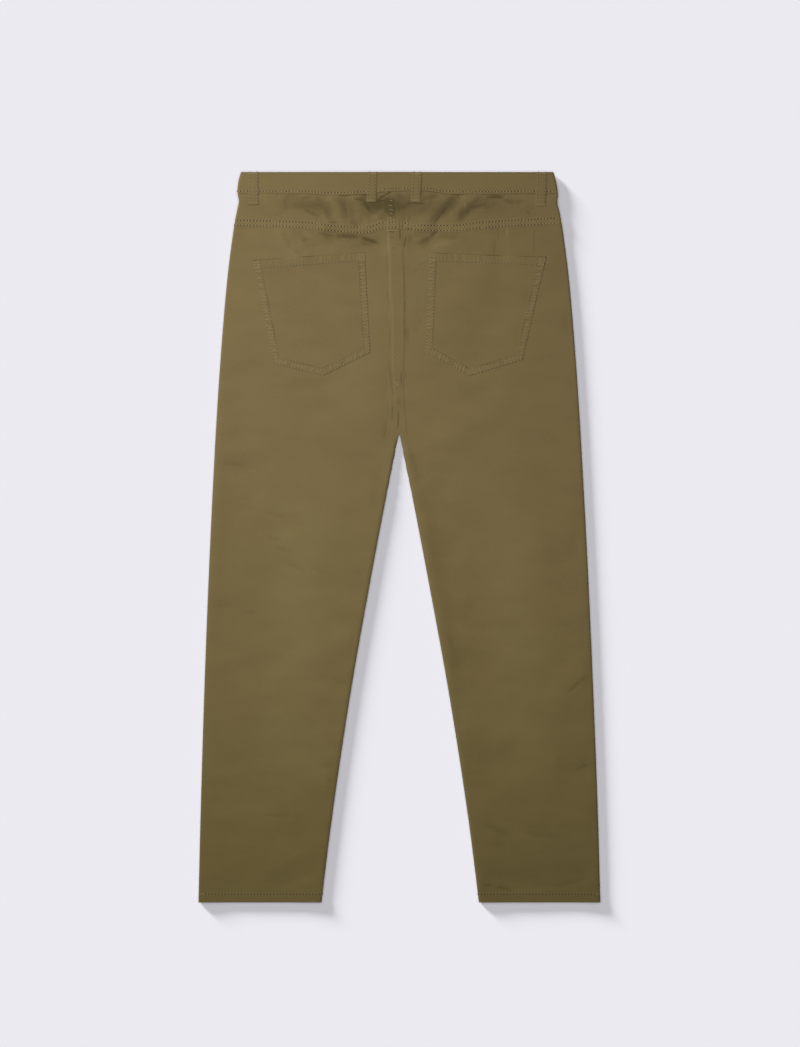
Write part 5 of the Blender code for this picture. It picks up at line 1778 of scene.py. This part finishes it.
@dataclass
class Fronts:
    """The two fronts with their scoop pocket openings, the facings in them and the coin pocket."""

    step: float = 6.0 * MM
    front_cut: Cut = Cut(0.272, 1.027, 0.2110, ())
    facing_cut: Cut = Cut(0.116, 0.092, 0.0086, ("front_left", "front_right"))
    coin_cut: Cut = Cut(0.062, 0.062, 0.0026, ("front_pocket_facing_right",))
    coin_inner: float = 146 * MM
    coin_outer: float = 204 * MM
    coin_top: float = 52 * MM

    def front(self, half: Half) -> BMesh:
        """Cut one front, flat on the surface and cut away at the scoop pocket."""
        bottom = FRONT_WAIST_SEAM + SCOOP_DEPTH
        columns, scoop_rows = round(250 * MM / self.step), 16
        rows = scoop_rows + round((LENGTH - bottom) / self.step)

        def place(column: Numbers, row: Numbers) -> Spots:
            """Follow the scoop's curve at the top and the side seam below it."""
            turn = math.pi / 2 * np.clip(row / scoop_rows, 0.0, 1.0)
            upper = FRONT_WAIST_SEAM + SEAM_GAP + (SCOOP_DEPTH - SEAM_GAP) * np.sin(turn)
            lower = blend(bottom, LENGTH, (row - scoop_rows) / (rows - scoop_rows))
            down = np.where(row <= scoop_rows, upper, lower)
            outer = np.where(row <= scoop_rows, scoop(half, down), front_outer(half, down))
            inner = front_inner(half, down)
            x = blend(inner, outer, column / columns)
            free = lift(down) / LIFT
            z = lift(down) + 0.2 * MM * (1.0 + DENTS(x, down)) * free
            return Spots(x, down, z, x, 0.0 * x)

        return cut_sheet(columns, rows, place, Facing.DOWN)

    def facing(self, half: Half) -> BMesh:
        """Cut the facing that shows in the scoop opening."""
        columns, rows = 24, 20

        def place(column: Numbers, row: Numbers) -> Spots:
            """Reach from the waist seam to past the scoop's curve."""
            down = FRONT_WAIST_SEAM + SEAM_GAP + FACING_REACH * np.sin(math.pi / 2 * row / rows)
            outer = half.side_fold(down) - half.sign * STEP
            x = blend(scoop(half, down, SCOOP_MARGIN), outer, column / columns)
            return Spots(x, down, lift(down) + CLOTH + SEAM_GAP, x, 0.0 * x)

        return cut_sheet(columns, rows, place, Facing.DOWN)

    def coin_pocket(self) -> BMesh:
        """Cut the coin pocket, whose foot runs along the scoop opening's edge."""
        columns, rows = 24, 14

        def foot(x: Numbers) -> Numbers:
            """How far down the opening's edge lies."""
            down = np.full_like(x, self.coin_top)
            for _ in range(4):
                aside = np.clip((front_outer(RIGHT, down) - x) / SCOOP_WIDTH, 0.0, 1.0)
                down = FRONT_WAIST_SEAM + SCOOP_DEPTH * np.sqrt(1.0 - aside * aside)
            return down

        def place(column: Numbers, row: Numbers) -> Spots:
            """Hang from its hemmed mouth."""
            x = blend(self.coin_inner, self.coin_outer, column / columns)
            down = blend(self.coin_top, foot(x) - STEP, row / rows)
            return Spots(x, down, lift(down) + 0.1 * MM, x, 0.0 * x)

        return cut_sheet(columns, rows, place, Facing.DOWN)

    def build(self, room: Workroom) -> dict[str, BVHTree]:
        """Add the fronts, the facings and the coin pocket.

        Args:
            room: Where pieces are added.

        Returns:
            The faces that other pieces lie on, by name.
        """
        grounds = {}
        for half in (LEFT, RIGHT):
            shape = self.front(half)
            name = "front_" + half.name
            grounds[name] = BVHTree.FromBMesh(shape)
            room.add_cloth(name + "_twill", shape, CLOTH, self.front_cut, (name,))
            name = "front_pocket_facing_" + half.name
            room.add_cloth(name + "_twill", self.facing(half), FACING_WALL, self.facing_cut, (name,))
        shape = self.coin_pocket()
        grounds["coin_pocket"] = BVHTree.FromBMesh(shape)
        room.add_cloth("coin_pocket_twill", shape, FACING_WALL, self.coin_cut, ("coin_pocket",))
        return grounds


@dataclass
class Waistband:
    """One strip round the flattened waist, its ends lapped at the centre front."""

    proud: float = 0.6 * MM
    roll: float = 2.9 * MM
    rise: float = 1.6 * MM
    rise_span: float = 110 * MM
    lap_step: float = 2.3 * MM
    left_end: float = 22 * MM
    right_end: float = -20 * MM
    ramp_start: float = 30 * MM
    ramp_span: float = 35 * MM
    hole_from: float = -4 * MM
    hole_to: float = 14 * MM
    hole_height: float = 4 * MM
    step: float = 2.6 * MM
    roll_columns: int = 8
    cut: Cut = Cut(0.965, 0.032, 0.0302, ("yoke_left", "yoke_right"))

    def top(self, x: Numbers) -> Numbers:
        """Height of the outer face on the back, highest over the lapped ends."""
        return LIFT - self.proud + 2.0 * self.roll + self.rise * (1.0 - ease(np.abs(x) / self.rise_span))

    def low(self, x: Numbers, from_right: bool) -> Numbers:
        """Height of the outer face on the front, where the right end climbs over the left."""
        climb = self.lap_step * (1.0 - ease((x - self.ramp_start) / self.ramp_span))
        return LIFT - self.proud + (climb if from_right else 0.0) + 0.0 * x

    def place(self, column: Numbers, row: Numbers, columns: tuple[int, int, int], rows: int) -> Spots:
        """Lay the strip round the waist.

        Args:
            column: Grid columns, from the left end round the back to the right end.
            row: Grid rows.
            columns: Number of columns on the front's left, on the back and on the front's right.
            rows: Number of rows.

        Returns:
            The places on the band.
        """
        share = row / rows
        part = share * FRONT_WAIST_SEAM
        left, right = side_left(part) + self.roll, side_right(part) - self.roll
        ends = np.cumsum([0, columns[0], self.roll_columns, columns[1], self.roll_columns, columns[2]])
        on_left = blend(self.left_end, left, column / ends[1])
        on_back = blend(left, right, (column - ends[2]) / columns[1])
        on_right = blend(right, self.right_end, (column - ends[4]) / columns[2])
        centre = LIFT - self.proud + self.roll
        turn_left = math.pi * (column - ends[1]) / self.roll_columns
        turn_right = math.pi * (column - ends[3]) / self.roll_columns
        stretch = [column <= end for end in ends[1:5]]
        x = np.select(stretch, [on_left, left - self.roll * np.sin(turn_left), on_back,
                                right + self.roll * np.sin(turn_right)], on_right)
        z = np.select(stretch, [self.low(x, False), centre - self.roll * np.cos(turn_left), self.top(x),
                                centre + self.roll * np.cos(turn_right)], self.low(x, True))
        on_front = (column < ends[1]) | (column > ends[4])
        down = share * np.where(on_front, FRONT_WAIST_SEAM, waist_seam(x))
        height, tone = self.relief(x, share * waist_seam(x), waist_seam(x))
        inside = ease((column - ends[2]) / 4.0) * ease((ends[3] - column) / 4.0)
        edge = 1.0 - ease(np.minimum(share, 1.0 - share) * FRONT_WAIST_SEAM / (1.4 * MM))
        drop = np.where(on_front, 0.0, 0.55 * MM) * edge
        around = np.abs(x - self.left_end) + np.where(column > ends[2], 1.0, 0.0)
        # Painted shade on the band's rolled top edge, and fainter on both of its edges
        rim = 1.0 - ease((down - 0.4 * MM) / (2.2 * MM))
        return Spots(x, down, z + inside * height - drop, around, inside * tone - 0.08 * edge - 0.4 * rim)

    def relief(self, x: Numbers, down: Numbers, seam: Numbers) -> Pair:
        """Relief and tone of the band on the back.

        Args:
            x: Places across.
            down: Places down.
            seam: The seam's place below each.

        Returns:
            The height and the tone at each place.
        """
        height, tone = BAND_STRIP.shape(seam - down, x)
        soft = 0.16 * SWELLS(x, down) + 0.05 * DENTS(x, down) + 0.012 * CRUMPLE(x, down)
        return height + soft * MM, tone

    def build(self, room: Workroom) -> BVHTree:
        """Add the waistband.

        Args:
            room: Where pieces are added.

        Returns:
            Its outer face, for the loops and the thread.
        """
        front, back, rows = round(250 * MM / self.step), round(455 * MM / self.step), 12
        columns = (front, back, front)

        def place(column: Numbers, row: Numbers) -> Spots:
            """Lay the grid round the waist."""
            return self.place(column, row, columns, rows)

        def sewn(x: Numbers, down: Numbers) -> Numbers:
            """The strip along the seam, and the top edge."""
            return (waist_seam(x) - down < 11 * MM) | (down < 3 * MM)

        total = sum(columns) + 2 * self.roll_columns
        shape = cut_sheet(total, rows, place, Facing.UP, (sewn, sewn))
        middle = at(0.0, FRONT_WAIST_SEAM / 2, 0.0).y
        hole = []
        for face in shape.faces:
            centre = face.calc_center_median()
            across = self.hole_from < centre.x < self.hole_to
            if across and abs(centre.y - middle) < self.hole_height / 2 and centre.z < LIFT:
                hole.append(face)
        bmesh.ops.delete(shape, geom=hole, context="FACES")
        ground = BVHTree.FromBMesh(shape)
        room.add_cloth("waistband_twill", shape, BAND_WALL, self.cut, ("waistband",))
        return ground


@dataclass(frozen=True)
class BeltLoop:
    """A belt loop: a folded strip with two rows of thread that bridges the band, in millimetres."""

    name: str
    x_top: float
    x_bottom: float
    width: float
    length: float
    facing: Facing
    tack: float = 6.0
    start: float = 0.4
    thick: float = 0.6
    cut: Cut = Cut(0.0148, 0.049, 0.00070, ("waistband",))

    def build(self, room: Workroom, grounds: Sequence[BVHTree]) -> BVHTree:
        """Add the loop.

        Args:
            room: Where pieces are added.
            grounds: The faces that it lies on.

        Returns:
            Its outer face, for the thread.
        """
        columns, rows = 14, 44
        probe = Sewing(self.name, grounds, self.facing, 1)
        spread = np.linspace(-0.5, 0.5, 5)
        stations = np.array([0.0, 0.07, 0.14, 0.2, 0.32, 0.44, 0.56, 0.68, 0.8, 0.86, 0.93, 1.0])
        side = self.facing.value
        heights = []
        for part in stations:
            found = []
            for across in spread:
                for along in spread:
                    x = blend(self.x_top, self.x_bottom, part) + across * self.width
                    down = self.start + part * (self.length - self.start) + along * self.tack
                    spot = probe.ground((float(x) * MM, float(down) * MM))
                    if spot is not None:
                        found.append(spot[0].z * side)
            heights.append(max(found))
        ends = np.minimum(stations, 1.0 - stations) * self.length
        arch = np.array(heights) + self.thick * MM + 0.2 * MM * ease((ends - self.tack) / 8.0)
        smooth = np.convolve(np.pad(arch, 1, mode="edge"), [0.25, 0.5, 0.25], mode="valid")
        level = np.maximum(smooth, arch - 0.3 * MM)

        def place(column: Numbers, row: Numbers) -> Spots:
            """Lay the strip down the band."""
            part = row / rows
            aside = (column / columns - 0.5) * self.width
            x = (blend(self.x_top, self.x_bottom, part) + aside) * MM
            down = (self.start + part * (self.length - self.start)) * MM
            from_edge = (self.width / 2.0 - np.abs(aside)) * MM
            height, tone = LOOP_STRIP.shape(from_edge, down)
            edge = 1.0 - ease(from_edge / (1.6 * MM))
            end = 1.0 - ease(np.minimum(part, 1.0 - part) * self.length / 1.4)
            drop = 0.42 * MM * np.maximum(edge, end)
            z = side * (np.interp(part, stations, level) + height - drop)
            # Painted shade on the loop's edges and ends
            return Spots(x, down, z, aside * MM, tone - 0.12 * np.maximum(edge, end))

        shape = cut_sheet(columns, rows, place, self.facing)
        ground = BVHTree.FromBMesh(shape)
        room.add_cloth(self.name + "_twill", shape, self.thick * MM, self.cut, (self.name,))
        return ground

    def sew(self, sewing: Sewing) -> None:
        """Lay the loop's rows of thread and its bar tacks."""
        for side in (-1, 1):
            aside = side * (self.width / 2.0 - 2.4)
            sewing.run([((self.x_top + aside) * MM, 1.2 * MM),
                        ((self.x_bottom + aside) * MM, (self.length - 1.0) * MM)], Look.LOOP)
        half = self.width / 2.0 - 1.2
        for x, down in ((self.x_top, 2.8), (self.x_bottom, self.length - 2.6)):
            sewing.tack(((x - half) * MM, down * MM), ((x + half) * MM, down * MM), 1.6 * MM)


BELT_LOOPS = (
    BeltLoop("belt_loop_side_left", -211.6, -211.6, 15.2, 47.4, Facing.UP),
    BeltLoop("belt_loop_centre_left", -38.5, -41.0, 14.0, 43.5, Facing.UP),
    BeltLoop("belt_loop_centre_right", 25.8, 23.0, 14.0, 43.5, Facing.UP),
    BeltLoop("belt_loop_side_right", 206.4, 204.1, 15.2, 49.7, Facing.UP),
    BeltLoop("belt_loop_front_left", -122.0, -122.0, 14.5, 46.0, Facing.DOWN),
    BeltLoop("belt_loop_front_right", 122.0, 122.0, 14.5, 46.0, Facing.DOWN),
)


def add_block(shape: BMesh, place: Vector, size: tuple[float, float, float], rounding: float,
              segments: int) -> None:
    """Add a block with rounded edges to a mesh.

    Args:
        shape: The mesh.
        place: The block's middle.
        size: Its size across, along and up.
        rounding: Radius of its edges.
        segments: Faces round each edge.
    """
    matrix = Matrix.Translation(place) @ Matrix.Diagonal((*size, 1.0))
    made = bmesh.ops.create_cube(shape, size=1.0, matrix=matrix)
    edges = {edge for vert in made["verts"] for edge in vert.link_edges}
    bmesh.ops.bevel(shape, geom=list(edges), offset=rounding, affect="EDGES", segments=segments,
                    profile=0.5, material=-1)


@dataclass
class Fly:
    """The fly inside the front: the shield, the zip's tape and chain, and its slider."""

    shield_bed: float = 3.2 * MM
    top: float = 34 * MM
    tape_half: float = 12 * MM
    tape_wall: float = 0.6 * MM
    bed: float = 1.4 * MM
    bottom: float = 190 * MM
    end_room: float = 3 * MM
    tooth_pitch: float = 2.4 * MM
    tooth_size: tuple[float, float, float] = (2.6 * MM, 1.0 * MM, 0.9 * MM)
    tooth_aside: float = 0.9 * MM
    slider_middle: float = 45.5 * MM
    slider_size: tuple[float, float, float] = (7.0 * MM, 9.0 * MM, 1.3 * MM)
    pull_size: tuple[float, float, float] = (3.2 * MM, 12.0 * MM, 0.5 * MM)
    pull_drop: float = 9 * MM
    shield_cut: Cut = Cut(0.038, 0.171, 0.0065, ("front_right",))
    tape_cut: Cut = Cut(0.024, 0.156, 0.0037, ("front_left",))

    def strip(self, left: float, right: float, top: float, bottom: float, height: float) -> BMesh:
        """Cut a plain strip that lies over the front."""
        columns, rows = 8, 48

        def place(column: Numbers, row: Numbers) -> Spots:
            """Follow the front's rise to the waist."""
            x, down = blend(left, right, column / columns), blend(top, bottom, row / rows)
            return Spots(x, down, lift(down) + height, x, 0.0 * x)

        return cut_sheet(columns, rows, place, Facing.DOWN)

    def chain(self) -> BMesh:
        """Set the two rows of teeth, each a small rounded block, turn about along the tape."""
        shape = bmesh.new()
        count = int((self.bottom - self.top - 2 * self.end_room) / self.tooth_pitch)
        for k in range(count):
            for side, turn in ((-1, 0.0), (1, 0.5)):
                down = self.top + self.end_room + (k + turn) * self.tooth_pitch
                z = float(lift(down)) + self.bed + self.tape_wall + 0.15 * MM
                add_block(shape, at(side * self.tooth_aside, down, z), self.tooth_size, 0.15 * MM, 1)
        return shape

    def slider(self) -> BMesh:
        """Make the slider's body and its closed pull tab."""
        shape = bmesh.new()
        z = float(lift(self.slider_middle)) + self.bed + self.tape_wall
        add_block(shape, at(0.0, self.slider_middle, z + 0.5 * MM), self.slider_size, 0.22 * MM, 2)
        pull = at(0.0, self.slider_middle + self.pull_drop, z + 1.35 * MM)
        add_block(shape, pull, self.pull_size, 0.22 * MM, 2)
        return shape

    def build(self, room: Workroom) -> None:
        """Add the shield and the zip."""
        shield = self.strip(SHIELD_INNER, SHIELD_OUTER, self.top, SHIELD_BOTTOM, self.shield_bed)
        room.add_cloth("fly_shield_twill", shield, FACING_WALL, self.shield_cut, ("fly_shield",))
        tape = self.strip(-self.tape_half, self.tape_half, self.top, self.bottom, self.bed)
        room.add_cloth("fly_zip_tape", tape, self.tape_wall, self.tape_cut, ("fly_zip",))
        room.add("fly_zip_teeth", self.chain(), room.brass, "zip", ("fly_zip",))
        room.add("fly_zip_slider", self.slider(), room.brass, "zip", ("fly_zip",))


@dataclass
class TackButton:
    """The tack button, face down: a rimmed cap on a stem through the buttonhole, in millimetres."""

    radius: float = 8.5
    head: float = 1.9
    stem: float = 1.6
    stem_top: float = 4.2
    rounding: float = 0.5
    middle: float = 5.0
    segments: int = 48

    def build(self, room: Workroom) -> None:
        """Spin the button's profile and add it."""
        rim = self.radius - self.rounding
        profile = [(0.0, self.stem_top), (self.stem, self.stem_top), (self.stem, self.head + 0.2),
                   (self.stem + 0.3, self.head), (rim, self.head), (self.radius - 0.15, self.head - 0.15),
                   (self.radius, self.head - self.rounding), (self.radius, self.rounding),
                   (self.radius - 0.15, 0.15), (rim, 0.0), (rim - 1.1, 0.0), (rim - 1.4, 0.3),
                   (2.6, 0.3), (2.0, 0.15), (0.0, 0.15)]
        shape = bmesh.new()
        verts = [shape.verts.new((radius * MM, 0.0, z * MM)) for radius, z in profile]
        edges = [shape.edges.new(pair) for pair in zip(verts, verts[1:])]
        bmesh.ops.spin(shape, geom=verts + edges, cent=(0.0, 0.0, 0.0), axis=(0.0, 0.0, 1.0),
                       angle=2.0 * math.pi, steps=self.segments, use_merge=True)
        bmesh.ops.remove_doubles(shape, verts=shape.verts, dist=0.00001)
        bmesh.ops.recalc_face_normals(shape, faces=shape.faces)
        place = at(self.middle * MM, FRONT_WAIST_SEAM / 2, 0.0)
        bmesh.ops.translate(shape, verts=shape.verts, vec=place)
        for face in shape.faces:
            face.smooth = True
        button = room.add("button_brass", shape, room.brass, "button", ("button",))
        button.data.set_sharp_from_angle(angle=math.radians(40))


@dataclass
class Seams:
    """The rows of thread on the backs, the yoke, the waistband, the hems and the fronts."""

    step: float = 5.0 * MM
    rows: tuple[float, float] = (1.6 * MM, 7.6 * MM)
    fly_width: float = 40 * MM
    fly_turn: float = 158 * MM
    fly_foot: float = 196 * MM
    # The stretch between the centre loops where the band was sewn on with short stitches
    short_from: float = -20 * MM
    short_to: float = 4 * MM
    short_pitch: float = 2.4 * MM
    short_length: float = 1.9 * MM
    # The overedge's coarse stitches that show through the top of the centre back seam
    coarse: tuple[Plan, ...] = ((-11.5, 41.5), (-12.0, 48.7), (-11.8, 54.6), (-11.4, 60.0), (-12.2, 66.4))
    coarse_thread: float = 1.9 * MM

    def level_route(self, start: float, end: float, place: Callable[[float], float]) -> list[Plan]:
        """A route across the garment, from one x to another."""
        count = max(round(abs(end - start) / self.step), 1)
        return [(x, float(place(x))) for x in np.linspace(start, end, count + 1).tolist()]

    def build(self, room: Workroom, backs: Sequence[BVHTree], band: BVHTree,
              fronts: Sequence[BVHTree]) -> None:
        """Add the rows.

        Args:
            room: Where pieces are added.
            backs: The backs' and yoke's outer faces.
            band: The waistband's outer face.
            fronts: The fronts' outer faces.
        """
        self.sew_backs(room, backs)
        self.sew_waistband(room, band)
        self.sew_fronts(room, fronts)

    def sew_backs(self, room: Workroom, backs: Sequence[BVHTree]) -> None:
        """Sew the yoke, the centre back seam and the back's hems."""
        yoke = Sewing("thread_yoke", backs, Facing.UP, 41)
        left, right = float(side_left(75 * MM)) + MM, float(side_right(75 * MM)) - MM
        for row in YOKE_ROWS:
            yoke.run(self.level_route(left, right, lambda x: yoke_seam(x) + row * MM))
        yoke.finish(room)
        seat = Sewing("thread_seat", backs, Facing.UP, 42)
        for x, down in self.coarse:
            ends = ((x - 2.8) * MM, (down - 0.8) * MM), ((x + 2.8) * MM, (down + 0.8) * MM)
            seat.stitch(*ends, self.coarse_thread, Look.COARSE)
        for start, end in (((-16.5, 84.5), (-6.0, 84.5)), ((-6.0, 304.0), (-2.6, 308.5)),
                           ((-0.6, 303.5), (-2.6, 308.5))):
            seat.tack(tuple(Vector(start) * MM), tuple(Vector(end) * MM), 2.0 * MM)
        seat.finish(room)
        hems = Sewing("thread_hems", backs, Facing.UP, 44)
        down = LENGTH - HEM_ROW * MM
        for half in (LEFT, RIGHT):
            inner, outer = float(half.inner(np.array(down))), float(half.side(down))
            route = self.level_route(inner + half.sign * MM, outer - half.sign * MM, lambda x: down)
            hems.run(route, Look.HEM)
        hems.finish(room)

    def sew_waistband(self, room: Workroom, band: BVHTree) -> None:
        """Sew the waistband's lower edge, on the back and on the front."""

        def edge(x: float) -> float:
            """The row over the waist seam."""
            return waist_seam(x) - BAND_ROW * MM

        waist = Sewing("thread_waistband", (band,), Facing.UP, 43)
        left, right = float(side_left(28 * MM)) + MM, float(side_right(28 * MM)) - MM
        waist.run(self.level_route(left, self.short_from, edge))
        waist.run(self.level_route(self.short_from, self.short_to, edge), Look.PLAIN, self.short_pitch,
                  self.short_length)
        waist.run(self.level_route(self.short_to, right, edge))
        waist.finish(room)
        front = Sewing("thread_waistband_front", (band,), Facing.DOWN, 46)
        seam = FRONT_WAIST_SEAM - BAND_ROW * MM
        front.run([(left, seam), (right, seam)], Look.FRONT)
        front.finish(room)

    def sew_fronts(self, room: Workroom, fronts: Sequence[BVHTree]) -> None:
        """Sew the scoop pockets' edges, the coin pocket, the fly's curve and the front's hems."""
        sewing = Sewing("thread_fronts", fronts, Facing.DOWN, 47)
        turns = np.linspace(0.04, math.pi / 2, 40)
        hem = LENGTH - HEM_ROW * MM
        for half in (LEFT, RIGHT):
            for row in self.rows:
                down = FRONT_WAIST_SEAM + (SCOOP_DEPTH + row) * np.sin(turns)
                x = front_outer(half, down) - half.sign * (SCOOP_WIDTH + row) * np.cos(turns)
                sewing.run(list(zip(x.tolist(), down.tolist())), Look.FRONT)
            inner, outer = float(front_inner(half, np.array(hem))), float(front_outer(half, np.array(hem)))
            sewing.run([(inner + half.sign * MM, hem), (outer - half.sign * MM, hem)], Look.FRONT)
        for row in self.rows:
            wide, foot = self.fly_width - row, self.fly_foot - row
            down = self.fly_turn + (foot - self.fly_turn) * np.sin(turns)
            curve = list(zip((FLY_LAP - wide * np.cos(turns)).tolist(), down.tolist()))
            sewing.run([(FLY_LAP - wide, FRONT_WAIST_SEAM + MM)] + curve, Look.FRONT)
        for coin in (((148, 54), (202, 54)), ((148, 56), (148, 82)), ((202, 56), (202, 103))):
            sewing.run([(x * MM, down * MM) for x, down in coin], Look.FRONT)
        sewing.finish(room)


@dataclass(frozen=True)
class Lamp:
    """A lamp of the studio: a far sun, or a square soft box when it has a size."""

    name: str
    place: tuple[float, float, float]
    target: tuple[float, float, float]
    power: float
    size: float = 0.0
    angle: float = 0.0

    def build(self) -> Object:
        """Add the lamp, turned towards its target."""
        light = bpy.data.lights.new(self.name, "AREA" if self.size else "SUN")
        light.energy = self.power
        if self.size:
            light.size = self.size
        else:
            light.angle = math.radians(self.angle)
        lamp = bpy.data.objects.new(self.name, light)
        lamp.location = self.place
        away = Vector(self.place) - Vector(self.target)
        lamp.rotation_euler = away.to_track_quat("Z", "Y").to_euler()
        lamp.visible_camera = False
        bpy.context.scene.collection.objects.link(lamp)
        return lamp


@dataclass
class Studio:
    """The pale floor, the soft light from the upper left and the camera straight above.

    The picture's background has one even tone while its cloth grows darker to the lower right. So the soft
    boxes over the cloth leave the floor out, and the floor has suns of its own.
    """

    # The picture shows 800 by 1047 points of 1.45 mm
    point: float = 1.45 * MM
    high: int = 1047
    centre_x: float = 0.87 * MM
    centre_y: float = 20.05 * MM
    distance: float = 6.0
    sensor: float = 24.0
    floor_size: float = 8.0
    sky: float = 0.08
    cloth_lamps: tuple[Lamp, ...] = (
        Lamp("key_box", (-1.2, 1.2, 0.9), (0.0, 0.0, 0.0), 20.0, size=0.4),
        Lamp("top_box", (-0.1, 0.1, 1.1), (-0.1, 0.1, 0.0), 7.2, size=0.7),
    )
    floor_lamps: tuple[Lamp, ...] = (
        Lamp("floor_top", (0.0, 0.0, 5.0), (0.1, -0.1, 0.0), 1.66, angle=70.0),
        Lamp("floor_low", (-1.0, 1.0, 0.26), (0.0, 0.0, 0.0), 6.85, angle=11.0),
    )

    def build(self) -> None:
        """Add the floor, the lights and the camera."""
        shape = bmesh.new()
        bmesh.ops.create_grid(shape, x_segments=1, y_segments=1, size=self.floor_size / 2)
        bmesh.ops.translate(shape, verts=shape.verts, vec=(0.0, 0.0, -0.2 * MM))
        floor = new_object("floor", shape, PaperFinish("background_paper").make())
        self.add_camera()
        self.add_lights(floor)

    def add_camera(self) -> None:
        """Look straight down from far above."""
        camera = bpy.data.cameras.new("camera")
        camera.sensor_fit = "VERTICAL"
        camera.sensor_height = self.sensor
        camera.lens = self.sensor * self.distance / (self.high * self.point)
        camera.clip_end = 100.0
        holder = bpy.data.objects.new("camera", camera)
        holder.location = (self.centre_x, self.centre_y, self.distance)
        bpy.context.scene.collection.objects.link(holder)
        bpy.context.scene.camera = holder

    def add_lights(self, floor: Object) -> None:
        """Set the lamps and the even pale sky.

        Args:
            floor: The floor, which the cloth's lamps leave out and the floor's lamps light alone.
        """
        scene = bpy.context.scene
        scene.view_settings.view_transform = "Standard"
        for lamps, state in ((self.cloth_lamps, "EXCLUDE"), (self.floor_lamps, "INCLUDE")):
            lit = bpy.data.collections.new("floor_" + state.lower())
            lit.objects.link(floor)
            lit.collection_objects[0].light_linking.link_state = state
            for lamp in lamps:
                lamp.build().light_linking.receiver_collection = lit
        world = bpy.data.worlds.new("studio")
        world.use_nodes = True
        background = world.node_tree.nodes["Background"]
        background.inputs["Color"].default_value = (1.0, 1.0, 1.0, 1.0)
        background.inputs["Strength"].default_value = self.sky
        scene.world = world


def main() -> None:
    """Build every piece, in the order in which the garment is sewn."""
    logging.basicConfig(level=logging.INFO, format="%(message)s")
    room = Workroom(TwillFinish("cotton_twill").make(), ThreadFinish("spun_thread").make(),
                    BrassFinish("antique_brass").make())
    grounds = Backs().build(room)
    pockets = []
    for half, plan in ((LEFT, LEFT_POCKET), (RIGHT, RIGHT_POCKET)):
        pocket = PatchPocket(half, plan)
        grounds["pocket_" + half.name] = pocket.build(room)
        pockets.append(pocket)
    fronts = Fronts().build(room)
    band = Waistband().build(room)
    upper, lower = list(grounds.values()) + [band], list(fronts.values()) + [band]
    loops = [(loop, loop.build(room, upper if loop.facing is Facing.UP else lower)) for loop in BELT_LOOPS]
    Fly().build(room)
    TackButton().build(room)
    Seams().build(room, [grounds[name] for name in grounds if "pocket" not in name], band,
                  list(fronts.values()))
    for pocket in pockets:
        pocket.sew([grounds["pocket_" + pocket.half.name]], room)
    for facing in Facing:
        sewn = [pair for pair in loops if pair[0].facing is facing]
        name = "thread_belt_loops_" + facing.name.lower()
        sewing = Sewing(name, [ground for _, ground in sewn], facing, 45)
        for loop, _ in sewn:
            loop.sew(sewing)
        sewing.finish(room)
    Studio().build()


if __name__ == "__main__":
    main()
